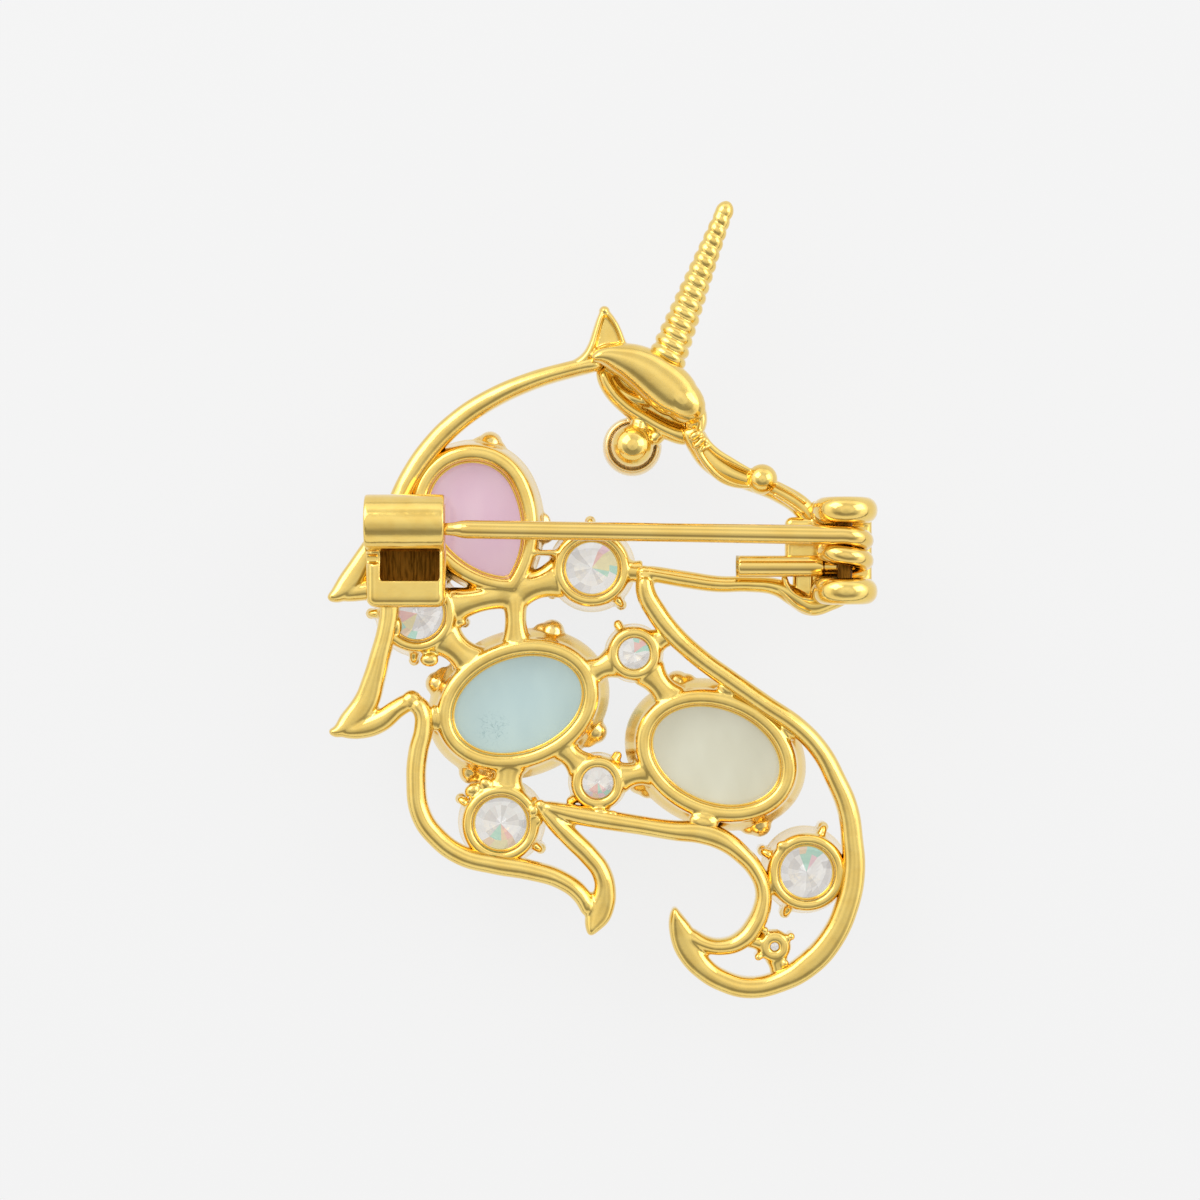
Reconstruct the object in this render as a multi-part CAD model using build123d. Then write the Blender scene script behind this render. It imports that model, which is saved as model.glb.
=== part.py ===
"""A gold-plated brooch, cast as the outline of a unicorn's head, with stones in open-backed cups.

The brooch lies on its face with its back up. X runs across the figure, Y runs up it towards the horn,
and Z runs from the front of the stones to the back, where the pin is. The origin is under the middle
of the outline, on the table that the domed stones rest on. Lengths are in millimetres.
"""
from build123d import *
import math
import os

# The whole figure, from the left lock to the hinge, and from the curl at the bottom to the horn's tip
OUTLINE_WIDTH = 34.5
OUTLINE_HEIGHT = 50.0

# The cast strands of mane, neck and jaw
BAR_WIDTH = 1.25
BAR_DEPTH = 1.9
FRAME_BACK = 6.2

# The head: brow, cheek, ear, horn and eye
BROW_RISE = 0.7
BROW_DEPTH = 2.6
CHEEK_DROP = 0.9
CHEEK_DEPTH = 1.6
EAR_DEPTH = 1.3
HORN_LENGTH = 10.24
HORN_BASE = 2.35
HORN_TIP = 0.95
HORN_RIBS = 14
HORN_RIB_DEPTH = 0.16
HORN_SPOT = (0.622, 0.803)
HORN_LEAN = 21.3
EYE_WIDTH = 3.6
EYE_BALL = 2.6
EYE_RIM = 1.5
EYE_SPOT = (0.559, 0.694)
NOSE_BALL = 1.9
NOSE_BALL_SPOT = (0.794, 0.651)

# The cups: the back rim stands a little deeper than the strands
CUP_BACK = 5.9
CUP_ROUNDING = 0.4
RIM_DEPTH = 1.5
BEZEL_WALL = 0.24
BEZEL_LIP = 0.45
LINK_WIDTH = 1.25
LINK_DEPTH = 1.5
LINK_DROP = 0.12

# The stones, and the room that each has in its cup
STONE_GAP = 0.06
OVAL_LENGTH = 11.2
OVAL_WIDTH = 8.7
PEAR_WIDTH = 7.9
PEAR_POINT = 6.2
DOME_BACK = 4.3
DOME_EDGE = 0.9
LARGE_ROUND = 5.0
SMALL_ROUND = 3.2
TINY_ROUND = 1.5
CULET_COVER = 0.35
FACETS = 12

# Where the back opening lies inside the stone's edge, and how wide the rim round it is
OVAL_LEDGE = 1.38
OVAL_RIM = 0.9
PEAR_LEDGE = 1.15
PEAR_RIM = 1.0
LARGE_LEDGE = 0.78
LARGE_RIM = 0.66
SMALL_LEDGE = 0.66
SMALL_RIM = 0.7
TINY_LEDGE = 0.38
TINY_RIM = 0.75

# The claws that hold the stones
DOME_CLAW = 1.2
LARGE_CLAW = 0.72
SMALL_CLAW = 0.6
TINY_CLAW = 0.5
CLAW_OVERLAP = 0.28
CLAW_RISE = 0.75

# The pin, its coil and the rivet that it turns on
PIN_DIAMETER = 1.15
PIN_ROOT = 2.8
PIN_TAPER = 0.8
PIN_NECK = 0.75
PIN_POINT = 0.16
COIL_WIRE = 1.2
COIL_INSIDE = 1.14
COIL_PITCH = 1.25
COIL_TURNS = 1.5
RIVET_DIAMETER = 0.9
RIVET_FIT = 0.03
TAIL_LENGTH = 5.6
HINGE_SPOT = (0.940, 0.561)
LUG_GAP = 3.4
LUG_THICKNESS = 1.62
LUG_WIDTH = 4.0
LUG_ROUNDING = 0.45
SEAT_LENGTH = 5.3
SEAT_THICKNESS = 1.5
SEAT_STEP = 0.15
COIL_CLEARANCE = 0.12

# The catch: a strip bent up from its base and rolled over the pin
CATCH_LENGTH = 4.95
CATCH_SPOT = (0.151, 0.5606)
CATCH_REACH = 7.0
CATCH_BASE = 0.8
ROLL_DIAMETER = 3.55
ROLL_WALL = 0.58
ROLL_LIP = 195
LEDGE_WIDTH = 1.5
LEDGE_HEIGHT = 2.1
END_WALL = 0.95
END_WALL_HEIGHT = 2.4
LOW_WALL = 0.4
LOW_WALL_HEIGHT = 0.35
PIN_CLEARANCE = 0.27
PIN_ASIDE = 0.38

# Strands, as rows of: share of the width, share of the height, share of the bar width
CREST = (
    (0.505, 0.798, 0.90),
    (0.448, 0.789, 0.85),
    (0.374, 0.774, 0.95),
    (0.297, 0.750, 1.05),
    (0.241, 0.724, 1.10),
    (0.195, 0.693, 1.10),
    (0.156, 0.655, 1.05),
    (0.119, 0.603, 1.00),
    (0.073, 0.550, 1.20),
    (0.050, 0.526, 1.35),
    (0.026, 0.508, 1.05),
    (0.006, 0.501, 0.35),
)
CREST_RETURN = (
    (0.026, 0.505, 0.70),
    (0.062, 0.511, 1.10),
    (0.115, 0.516, 1.10),
)
SECOND_LOCK = (
    (0.116, 0.515, 1.10),
    (0.118, 0.488, 1.05),
    (0.112, 0.460, 1.00),
    (0.101, 0.431, 1.05),
    (0.089, 0.400, 1.15),
    (0.074, 0.371, 1.35),
    (0.046, 0.348, 1.25),
    (0.024, 0.336, 0.75),
    (0.008, 0.335, 0.30),
)
SECOND_RETURN = (
    (0.020, 0.335, 0.50),
    (0.060, 0.338, 1.10),
    (0.101, 0.348, 1.20),
    (0.132, 0.364, 0.95),
    (0.158, 0.375, 1.00),
)
THIRD_LOCK = (
    (0.162, 0.375, 1.00),
    (0.178, 0.359, 0.95),
    (0.179, 0.338, 0.95),
    (0.170, 0.310, 1.05),
    (0.166, 0.275, 1.00),
    (0.175, 0.231, 1.05),
    (0.203, 0.203, 1.05),
    (0.248, 0.180, 1.00),
    (0.309, 0.169, 1.05),
    (0.376, 0.161, 1.05),
    (0.430, 0.149, 0.95),
    (0.466, 0.130, 0.95),
    (0.483, 0.106, 0.85),
)
FOURTH_LOCK = (
    (0.392, 0.243, 0.75),
    (0.420, 0.221, 1.00),
    (0.450, 0.200, 1.05),
    (0.481, 0.179, 1.05),
    (0.503, 0.158, 1.00),
    (0.509, 0.134, 1.10),
    (0.499, 0.110, 1.50),
    (0.488, 0.093, 1.05),
    (0.481, 0.080, 0.30),
)
CURL = (
    (0.392, 0.243, 0.60),
    (0.438, 0.234, 1.00),
    (0.499, 0.226, 1.05),
    (0.571, 0.218, 0.95),
    (0.635, 0.211, 1.00),
    (0.685, 0.208, 1.15),
    (0.723, 0.199, 1.10),
    (0.758, 0.181, 0.95),
    (0.783, 0.161, 0.90),
    (0.796, 0.138, 0.80),
    (0.794, 0.114, 0.95),
    (0.781, 0.093, 1.00),
    (0.759, 0.075, 1.00),
    (0.725, 0.066, 0.85),
    (0.687, 0.070, 0.85),
    (0.658, 0.083, 0.90),
)
NECK = (
    (0.580, 0.533, 0.85),
    (0.584, 0.508, 1.05),
    (0.602, 0.485, 1.10),
    (0.631, 0.459, 1.05),
    (0.680, 0.428, 1.00),
    (0.736, 0.400, 1.00),
    (0.798, 0.370, 1.00),
    (0.861, 0.340, 1.00),
    (0.901, 0.310, 1.00),
    (0.928, 0.275, 1.05),
    (0.949, 0.240, 1.10),
    (0.958, 0.200, 1.10),
    (0.961, 0.160, 1.15),
    (0.949, 0.118, 1.20),
    (0.920, 0.075, 1.25),
    (0.879, 0.044, 1.35),
    (0.828, 0.023, 1.10),
    (0.774, 0.0145, 1.10),
    (0.723, 0.023, 1.10),
    (0.687, 0.039, 1.15),
    (0.662, 0.061, 1.40),
    (0.647, 0.085, 1.30),
    (0.638, 0.103, 0.80),
    (0.635, 0.116, 0.25),
)
JAW = (
    (0.577, 0.535, 0.80),
    (0.611, 0.531, 0.85),
    (0.662, 0.525, 0.90),
    (0.716, 0.520, 0.85),
    (0.770, 0.520, 0.80),
    (0.821, 0.516, 0.90),
    (0.855, 0.503, 1.00),
    (0.883, 0.493, 1.10),
    (0.919, 0.498, 0.90),
    (0.955, 0.508, 0.80),
)
NOSE = (
    (0.662, 0.719, 1.20),
    (0.680, 0.695, 1.20),
    (0.702, 0.675, 1.25),
    (0.734, 0.660, 1.10),
    (0.774, 0.649, 1.00),
    (0.825, 0.635, 1.00),
    (0.872, 0.613, 1.10),
    (0.892, 0.590, 1.10),
)
BROW = (
    (0.490, 0.801, 0.50),
    (0.524, 0.803, 1.35),
    (0.577, 0.789, 2.15),
    (0.624, 0.765, 2.35),
    (0.662, 0.740, 1.90),
    (0.686, 0.716, 0.90),
)
CHEEK = (
    (0.503, 0.792, 0.80),
    (0.514, 0.770, 0.80),
    (0.543, 0.746, 0.80),
    (0.582, 0.728, 0.85),
    (0.622, 0.713, 0.90),
    (0.664, 0.703, 1.00),
)
EAR = (
    (0.517, 0.808, 1.80),
    (0.515, 0.825, 1.75),
    (0.514, 0.838, 1.45),
    (0.512, 0.850, 1.10),
    (0.510, 0.861, 0.70),
    (0.508, 0.868, 0.30),
)

# How far each strand's back stands below the frame's back, as a share of the bar depth
STRANDS = (
    (CREST, 0.00),
    (CREST_RETURN, 0.06),
    (SECOND_LOCK, 0.02),
    (SECOND_RETURN, 0.05),
    (THIRD_LOCK, 0.01),
    (FOURTH_LOCK, 0.04),
    (CURL, 0.02),
    (NECK, 0.00),
    (JAW, 0.07),
    (NOSE, 0.09),
)

# How round a bar's section is: where its corners lie, as shares of its width and depth
CORNER_ACROSS = 0.38
CORNER_UP = 0.37

# Stones, as rows of: name, cut, share of the width, share of the height, turn, angles of the claws
STONES = (
    ("pear_stone", "pear", 0.268, 0.618, 26.5, (75, 160, 228, -20)),
    ("aqua_oval_stone", "oval", 0.351, 0.369, 20, (65, 166, 235, -20)),
    ("cream_oval_stone", "oval", 0.711, 0.305, -22, (20, 118, 200, -58)),
    ("clear_stone_1", "large", 0.485, 0.540, 0, (92, 128, 213, -51)),
    ("clear_stone_2", "large", 0.168, 0.483, 0, (90, 180, 265, -11)),
    ("clear_stone_3", "large", 0.320, 0.220, 0, (150, 225, -34)),
    ("clear_stone_4", "large", 0.875, 0.159, 0, (68, 155, 244, -20)),
    ("clear_stone_5", "small", 0.562, 0.433, 0, (119, 299)),
    ("clear_stone_6", "small", 0.496, 0.271, 0, (54, 215)),
    ("clear_stone_7", "tiny", 0.817, 0.066, 0, (32, 122, 212, 302)),
)

# Cuts, as rows of: half length (a pear's point from its head's centre), half width, ledge, rim, claw
CUTS = {
    "oval": (OVAL_LENGTH / 2, OVAL_WIDTH / 2, OVAL_LEDGE, OVAL_RIM, DOME_CLAW),
    "pear": (PEAR_POINT, PEAR_WIDTH / 2, PEAR_LEDGE, PEAR_RIM, DOME_CLAW),
    "large": (LARGE_ROUND / 2, LARGE_ROUND / 2, LARGE_LEDGE, LARGE_RIM, LARGE_CLAW),
    "small": (SMALL_ROUND / 2, SMALL_ROUND / 2, SMALL_LEDGE, SMALL_RIM, SMALL_CLAW),
    "tiny": (TINY_ROUND / 2, TINY_ROUND / 2, TINY_LEDGE, TINY_RIM, TINY_CLAW),
}

# Links between cups, and from cups to the strands, as rows of: one end, other end, share of the width
LINKS = (
    ("pear_point", "aqua_oval_stone", 1.0),
    ("pear_point", "clear_stone_1", 0.9),
    ("pear_point", "clear_stone_2", 1.2),
    ("aqua_oval_stone", "clear_stone_2", 1.35),
    ("aqua_oval_stone", "clear_stone_5", 1.1),
    ("aqua_oval_stone", "clear_stone_6", 1.1),
    ("aqua_oval_stone", "clear_stone_3", 1.35),
    ("cream_oval_stone", "clear_stone_5", 1.2),
    ("cream_oval_stone", "clear_stone_6", 1.1),
    ("cream_oval_stone", (CURL, 5), 1.2),
    ("cream_oval_stone", (NECK, 6), 1.0),
    ("clear_stone_1", (JAW, 0), 1.0),
    ("clear_stone_2", (SECOND_LOCK, 1), 0.9),
    ("clear_stone_3", (FOURTH_LOCK, 0), 0.9),
    ("clear_stone_3", (THIRD_LOCK, 8), 0.9),
    ("clear_stone_4", (CURL, 9), 1.0),
    ("clear_stone_4", (NECK, 12), 1.1),
    ("clear_stone_5", (NECK, 3), 1.0),
    ("clear_stone_6", (CURL, 2), 1.0),
    ("clear_stone_7", (CURL, 12), 0.7),
    ("clear_stone_7", (NECK, 16), 0.8),
)

# The dome of a smooth stone, as rows of: share of its height, share of its outline
DOME_RISE = (
    (0.00, 1.00),
    (0.34, 0.94),
    (0.64, 0.78),
    (0.87, 0.52),
    (1.00, 0.20),
)

# The cut of a faceted stone, as shares of its diameter
CROWN_SHARE = 0.15
GIRDLE_SHARE = 0.04
PAVILION_SHARE = 0.39
TABLE_SHARE = 0.58


def spot(across, up):
    """The place that two shares of the outline stand for."""
    return Vector((across - 0.5) * OUTLINE_WIDTH, (up - 0.5) * OUTLINE_HEIGHT, 0)


def bar_section(width, depth):
    """The section of a cast bar: four shallow arcs that meet at soft corners."""
    across = CORNER_ACROSS * width
    up = CORNER_UP * depth
    corners = [(-across, -up), (across, -up), (across, up), (-across, up)]
    crowns = [(0, -depth / 2), (width / 2, 0), (0, depth / 2), (-width / 2, 0)]
    sides = [
        ThreePointArc(corners[side], crowns[side], corners[(side + 1) % 4])
        for side in range(4)
    ]
    return make_face(sides)


def strip(points, widths, back, depth):
    """A cast bar through a few sections, its back at one level."""
    sections = []
    for index, (point, width) in enumerate(zip(points, widths)):
        before = points[max(index - 1, 0)]
        after = points[min(index + 1, len(points) - 1)]
        along = (after - before).normalized()
        plane = Plane(
            origin=point + Vector(0, 0, back - depth / 2),
            x_dir=Vector(-along.Y, along.X, 0),
            z_dir=along,
        )
        sections.append(plane * bar_section(width, depth))
    return loft(sections)


def bar(rows, back=FRAME_BACK, depth=BAR_DEPTH):
    """A strand of the outline, from one of the tables."""
    points = [spot(across, up) for across, up, _ in rows]
    widths = [share * BAR_WIDTH for _, _, share in rows]
    return strip(points, widths, back, depth)


def knob(row):
    """A rounded end, where two strands meet at a corner."""
    across, up, share = row
    radius = share * BAR_WIDTH / 2
    straight = BAR_DEPTH * CORNER_UP * 2 - radius
    post = Cylinder(radius, straight)
    post += [Pos(0, 0, side * straight / 2) * Sphere(radius) for side in (1, -1)]
    return Pos(*spot(across, up)) * Pos(0, 0, FRAME_BACK - BAR_DEPTH / 2) * post


def pear_side(half_width, point):
    """The radius of the side arcs of a pear outline."""
    return (half_width**2 + point**2) / (2 * half_width)


def outline(cut, grow, share=1.0):
    """The outline of a stone, grown by a clearance or a wall and scaled by a share."""
    half_length, half_width = CUTS[cut][:2]
    length = (half_length + grow) * share
    width = (half_width + grow) * share
    if cut == "oval":
        return Ellipse(length, width)
    if cut == "pear":
        side = pear_side(width, length)
        head = ThreePointArc((-width, 0), (0, width), (width, 0))
        half_turn = math.asin(length / side) / 2
        middle = Vector(side * math.cos(half_turn), -side * math.sin(half_turn))
        right_middle = (width - side + middle.X, middle.Y)
        left_middle = (side - width - middle.X, middle.Y)
        right = ThreePointArc((width, 0), right_middle, (0, -length))
        left = ThreePointArc((0, -length), left_middle, (-width, 0))
        return make_face([head, right, left])
    return Circle(width)


def reach(cut, angle):
    """How far the stone's edge is from its centre in one direction, in the stone's own frame."""
    half_length, half_width = CUTS[cut][:2]
    sideways = abs(math.cos(math.radians(angle)))
    upwards = math.sin(math.radians(angle))
    if cut == "oval":
        return 1 / math.hypot(sideways / half_length, upwards / half_width)
    if cut == "pear" and upwards < 0:
        side = pear_side(half_width, half_length)
        shift = half_width - side
        return shift * sideways + math.sqrt((shift * sideways) ** 2 - shift**2 + side**2)
    return half_width


def levels(cut):
    """The front, the girdle's front and the girdle's back of a stone."""
    if cut in ("oval", "pear"):
        return 0.0, DOME_BACK - DOME_EDGE, DOME_BACK
    diameter = 2 * CUTS[cut][1]
    girdle_back = CUP_BACK - CULET_COVER - PAVILION_SHARE * diameter
    girdle_front = girdle_back - GIRDLE_SHARE * diameter
    return girdle_front - CROWN_SHARE * diameter, girdle_front, girdle_back


def stone_body(cut, grow=0.0):
    """A stone at the origin of its own frame, or the room it needs when it is grown."""
    front, girdle_front, girdle_back = levels(cut)
    if cut in ("oval", "pear"):
        edge = Pos(0, 0, girdle_front) * extrude(outline(cut, grow), girdle_back + grow - girdle_front)
        rise = girdle_front - front + grow
        sections = [
            Pos(0, 0, girdle_front - height * rise) * outline(cut, grow, share)
            for height, share in DOME_RISE
        ]
        return edge + loft(sections)
    radius = CUTS[cut][1] + grow
    girdle = RegularPolygon(radius, FACETS)
    table = RegularPolygon(radius * TABLE_SHARE, FACETS)
    crown = loft([Pos(0, 0, front - grow) * table, Pos(0, 0, girdle_front) * girdle], ruled=True)
    edge = Pos(0, 0, girdle_front) * extrude(girdle, girdle_back - girdle_front)
    culet = girdle_back + PAVILION_SHARE * 2 * radius
    pavilion = loft([Pos(0, 0, girdle_back) * girdle, Vertex(0, 0, culet)], ruled=True)
    return crown + edge + pavilion


def seat(row):
    """Where a stone lies and how it is turned."""
    _, _, across, up, turn, _ = row
    return Pos(*spot(across, up)) * Rot(0, 0, turn)


def cup(row):
    """The rim at the back of a stone and the bezel that widens to its edge."""
    cut = row[1]
    _, _, ledge, rim, _ = CUTS[cut]
    _, girdle_front, girdle_back = levels(cut)
    rim_face = outline(cut, rim - ledge)
    rim_body = extrude(rim_face, RIM_DEPTH)
    rim_body = fillet(rim_body.faces().sort_by(Axis.Z)[-1].edges(), CUP_ROUNDING)
    rim_body = Pos(0, 0, CUP_BACK - RIM_DEPTH) * rim_body
    front = girdle_front - BEZEL_LIP + STONE_GAP
    bezel_face = outline(cut, STONE_GAP + BEZEL_WALL)
    waist = max(girdle_back + 2 * BEZEL_WALL, CUP_BACK - 0.8 * RIM_DEPTH)
    bezel = Pos(0, 0, front) * extrude(bezel_face, waist - front)
    return seat(row) * (rim_body + bezel)


def opening(row):
    """The hole at the back of a cup, through which the stone shows."""
    cut = row[1]
    ledge = CUTS[cut][2]
    girdle_back = levels(cut)[2]
    return seat(row) * Pos(0, 0, girdle_back) * extrude(outline(cut, -ledge), CUP_BACK)


def claws(row):
    """The claws round a stone, which stand at its edge and close over its front."""
    _, cut, across, up, turn, angles = row
    radius = CUTS[cut][4] / 2
    _, girdle_front, girdle_back = levels(cut)
    front = girdle_front - CLAW_RISE * 2 * radius
    made = []
    for angle in angles:
        distance = reach(cut, angle - turn) + radius - CLAW_OVERLAP
        heading = math.radians(angle)
        place = spot(across, up) + Vector(distance * math.cos(heading), distance * math.sin(heading), 0)
        post = Cylinder(radius, girdle_back - front, align=(Align.CENTER, Align.CENTER, Align.MIN))
        made.append(Pos(*place) * Pos(0, 0, front) * post)
        made.append(Pos(*place) * Pos(0, 0, front) * Sphere(radius))
        made.append(Pos(*place) * Pos(0, 0, girdle_back) * Sphere(radius))
    return made


def link_end(end):
    """The place of one end of a link."""
    if end == "pear_point":
        row = STONES[0]
        heading = math.radians(row[4] - 90)
        distance = PEAR_POINT - PEAR_LEDGE + PEAR_RIM / 2
        return spot(row[2], row[3]) + Vector(distance * math.cos(heading), distance * math.sin(heading), 0)
    if isinstance(end, str):
        row = next(row for row in STONES if row[0] == end)
        return spot(row[2], row[3])
    rows, index = end
    return spot(*rows[index][:2])


def link(row):
    """A short bar from one cup to another or to a strand."""
    start, end, share = row
    points = [link_end(start), link_end(end)]
    return strip(points, [share * LINK_WIDTH] * 2, CUP_BACK - LINK_DROP, LINK_DEPTH)


def horn():
    """The horn, a cone of rounded ribs."""
    pitch = HORN_LENGTH / HORN_RIBS
    edges = [Line((0, HORN_LENGTH), (0, 0))]
    radii = [(HORN_BASE + (HORN_TIP - HORN_BASE) * rib / HORN_RIBS) / 2 for rib in range(HORN_RIBS + 1)]
    edges.append(Line((0, 0), (radii[0] - HORN_RIB_DEPTH, 0)))
    for rib in range(HORN_RIBS):
        low = (radii[rib] - HORN_RIB_DEPTH, rib * pitch)
        high = (radii[rib + 1] - HORN_RIB_DEPTH, (rib + 1) * pitch)
        crest = ((radii[rib] + radii[rib + 1]) / 2, (rib + 0.5) * pitch)
        edges.append(ThreePointArc(low, crest, high))
    edges.append(Line((radii[-1] - HORN_RIB_DEPTH, HORN_LENGTH), (0, HORN_LENGTH)))
    body = revolve(Plane.XZ * make_face(edges), Axis.Z)
    tip = Pos(0, 0, HORN_LENGTH) * Sphere(radii[-1] - HORN_RIB_DEPTH)
    lean = Rot(0, 0, -HORN_LEAN) * Rot(-90, 0, 0)
    return Pos(*spot(*HORN_SPOT)) * Pos(0, 0, FRAME_BACK - BAR_DEPTH / 2) * lean * (body + tip)


def eye():
    """The eye, a closed cup with a domed front and a ball on its back."""
    level = FRAME_BACK - CHEEK_DROP - CHEEK_DEPTH / 2
    radius = EYE_WIDTH / 2
    rim_front = level - EYE_RIM
    rim = Pos(0, 0, rim_front + EYE_RIM / 2) * Cylinder(radius, EYE_RIM)
    rings = [
        Pos(0, 0, rim_front - height * rim_front) * Circle(radius * share)
        for height, share in DOME_RISE
    ]
    ball = Pos(0, 0, level) * Sphere(EYE_BALL / 2)
    return Pos(*spot(*EYE_SPOT)) * (rim + loft(rings) + ball)


def eye_stem():
    """The short bar from the cheek to the eye."""
    points = [spot(*CHEEK[3][:2]), spot(*EYE_SPOT)]
    return strip(points, [LINK_WIDTH] * 2, FRAME_BACK - CHEEK_DROP - LINK_DROP, CHEEK_DEPTH)


PIN_LEVEL = CUP_BACK + COIL_CLEARANCE + COIL_WIRE * 1.5 + COIL_INSIDE
COIL_RADIUS = (COIL_INSIDE + COIL_WIRE) / 2
HINGE_LEVEL = PIN_LEVEL - COIL_RADIUS
COIL_HEIGHT = COIL_PITCH * COIL_TURNS


def hinge():
    """The two lugs of the hinge on their seat, bored for the rivet."""
    place = Pos(*spot(*HINGE_SPOT))
    seat_body = Box(SEAT_LENGTH, LUG_GAP + 2 * LUG_THICKNESS - 2 * SEAT_STEP, SEAT_THICKNESS)
    seat_body = fillet(seat_body.edges().filter_by(Axis.Z), LUG_ROUNDING)
    seat_shift = (LUG_WIDTH - SEAT_LENGTH) / 2 - SEAT_STEP
    made = [Pos(seat_shift, 0, CUP_BACK - SEAT_THICKNESS / 2) * seat_body]
    lug_foot = HINGE_LEVEL - CUP_BACK + SEAT_THICKNESS / 2
    for side in (1, -1):
        top = Circle(LUG_WIDTH / 2)
        foot = Pos(0, -lug_foot / 2) * Rectangle(LUG_WIDTH, lug_foot)
        lug = extrude(top + foot, LUG_THICKNESS)
        ends = lug.faces().filter_by(Axis.Z)
        lug = fillet(ends.edges(), LUG_ROUNDING)
        lug = Rot(90, 0, 0) * lug
        middle = side * (LUG_GAP + LUG_THICKNESS) / 2 + LUG_THICKNESS / 2
        made.append(Pos(0, middle, HINGE_LEVEL) * lug)
    return [place * piece for piece in made]


def rivet(diameter):
    """The rivet through both lugs, or its bore."""
    length = LUG_GAP + 2 * LUG_THICKNESS
    body = Rot(90, 0, 0) * Cylinder(diameter / 2, length)
    return Pos(*spot(*HINGE_SPOT)) * Pos(0, 0, HINGE_LEVEL) * body


def catch():
    """The catch, cut from one profile: base, back wall, roll over the pin and lower ledge."""
    inner = ROLL_DIAMETER / 2 - ROLL_WALL
    roll_level = PIN_LEVEL + PIN_DIAMETER / 2 + PIN_CLEARANCE - inner
    roll_side = CATCH_REACH / 2 - ROLL_DIAMETER / 2
    foot = FRAME_BACK - CATCH_BASE / 2
    ring = Circle(ROLL_DIAMETER / 2) - Circle(inner)
    below_level = math.radians(ROLL_LIP - 180)
    gap = Polygon(
        (0, 0),
        (-ROLL_DIAMETER, -ROLL_DIAMETER * math.tan(below_level)),
        (-ROLL_DIAMETER, -ROLL_DIAMETER),
        (0, -ROLL_DIAMETER),
        align=None,
    )
    gap += Pos(inner / 2, -ROLL_DIAMETER / 2) * Rectangle(inner, ROLL_DIAMETER)
    roll = Pos(roll_side, roll_level) * (ring - gap)
    wall_middle = (CATCH_REACH - ROLL_WALL) / 2
    wall = Pos(wall_middle, (roll_level + foot) / 2) * Rectangle(ROLL_WALL, roll_level - foot)
    base = Pos(0, foot + CATCH_BASE / 2) * Rectangle(CATCH_REACH, CATCH_BASE)
    ledge_middle = -(CATCH_REACH - LEDGE_WIDTH) / 2
    ledge = Pos(ledge_middle, foot + LEDGE_HEIGHT / 2) * Rectangle(LEDGE_WIDTH, LEDGE_HEIGHT)
    profile = roll + wall + base + ledge
    body = extrude(profile, CATCH_LENGTH / 2, both=True)
    well = roll_side - ROLL_DIAMETER / 2 + CATCH_REACH / 2
    end_side = -CATCH_REACH / 2 + well / 2
    end_wall = Pos(end_side, foot + END_WALL_HEIGHT / 2) * Rectangle(well, END_WALL_HEIGHT)
    low_height = CATCH_BASE + LOW_WALL_HEIGHT
    low_wall = Pos(end_side, foot + low_height / 2) * Rectangle(well, low_height)
    body += Pos(0, 0, -CATCH_LENGTH / 2) * extrude(end_wall, END_WALL)
    body += Pos(0, 0, CATCH_LENGTH / 2 - LOW_WALL) * extrude(low_wall, LOW_WALL)
    turned = Plane(origin=(0, 0, 0), x_dir=(0, 1, 0), z_dir=(1, 0, 0)) * body
    return Pos(*spot(*CATCH_SPOT)) * turned


def pin_wire():
    """The pin: a straight stem with a drawn point, a coil round the rivet and a short tail."""
    hinge_place = spot(*HINGE_SPOT)
    catch_place = spot(*CATCH_SPOT)
    roll_side = CATCH_REACH / 2 - ROLL_DIAMETER / 2
    start = hinge_place + Vector(0, COIL_HEIGHT / 2, PIN_LEVEL)
    entry = catch_place + Vector(CATCH_LENGTH / 2, roll_side - PIN_ASIDE, PIN_LEVEL)
    along = (entry - start).normalized()
    shoulder = (entry - start).length - PIN_DIAMETER
    stem_plane = Plane(origin=start, z_dir=along)
    lift = (Align.CENTER, Align.CENTER, Align.MIN)
    root = stem_plane * Cylinder(COIL_WIRE / 2, PIN_ROOT, align=lift)
    taper = Cone(COIL_WIRE / 2, PIN_DIAMETER / 2, PIN_TAPER, align=lift)
    taper = stem_plane * Pos(0, 0, PIN_ROOT) * taper
    stem = Cylinder(PIN_DIAMETER / 2, shoulder - PIN_ROOT - PIN_TAPER, align=lift)
    stem = stem_plane * Pos(0, 0, PIN_ROOT + PIN_TAPER) * stem
    neck = stem_plane * Pos(0, 0, shoulder) * Cone(PIN_DIAMETER / 2, PIN_NECK / 2, PIN_DIAMETER, align=lift)
    point_length = CATCH_LENGTH - END_WALL - PIN_CLEARANCE
    point = Cone(PIN_NECK / 2, PIN_POINT / 2, point_length, align=lift)
    point = stem_plane * Pos(0, 0, shoulder + PIN_DIAMETER) * point
    frame = Plane(
        origin=hinge_place + Vector(0, COIL_HEIGHT / 2, HINGE_LEVEL),
        x_dir=(0, 0, 1),
        z_dir=(0, -1, 0),
    )
    path = frame * Helix(COIL_PITCH, COIL_HEIGHT, COIL_RADIUS, lefthand=True)
    wire = Plane(origin=path @ 0, z_dir=path % 0) * Circle(COIL_WIRE / 2)
    coil = sweep(wire, path=path, is_frenet=True)
    tail_start = hinge_place + Vector(0, -COIL_HEIGHT / 2, HINGE_LEVEL - COIL_RADIUS)
    tail_plane = Plane(origin=tail_start, z_dir=(-1, 0, 0))
    tail = tail_plane * Cylinder(COIL_WIRE / 2, TAIL_LENGTH + COIL_RADIUS, align=lift)
    bends = [Pos(*start) * Sphere(COIL_WIRE / 2), Pos(*tail_start) * Sphere(COIL_WIRE / 2)]
    return Part() + [root, taper, stem, neck, point, coil, tail] + bends


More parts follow.
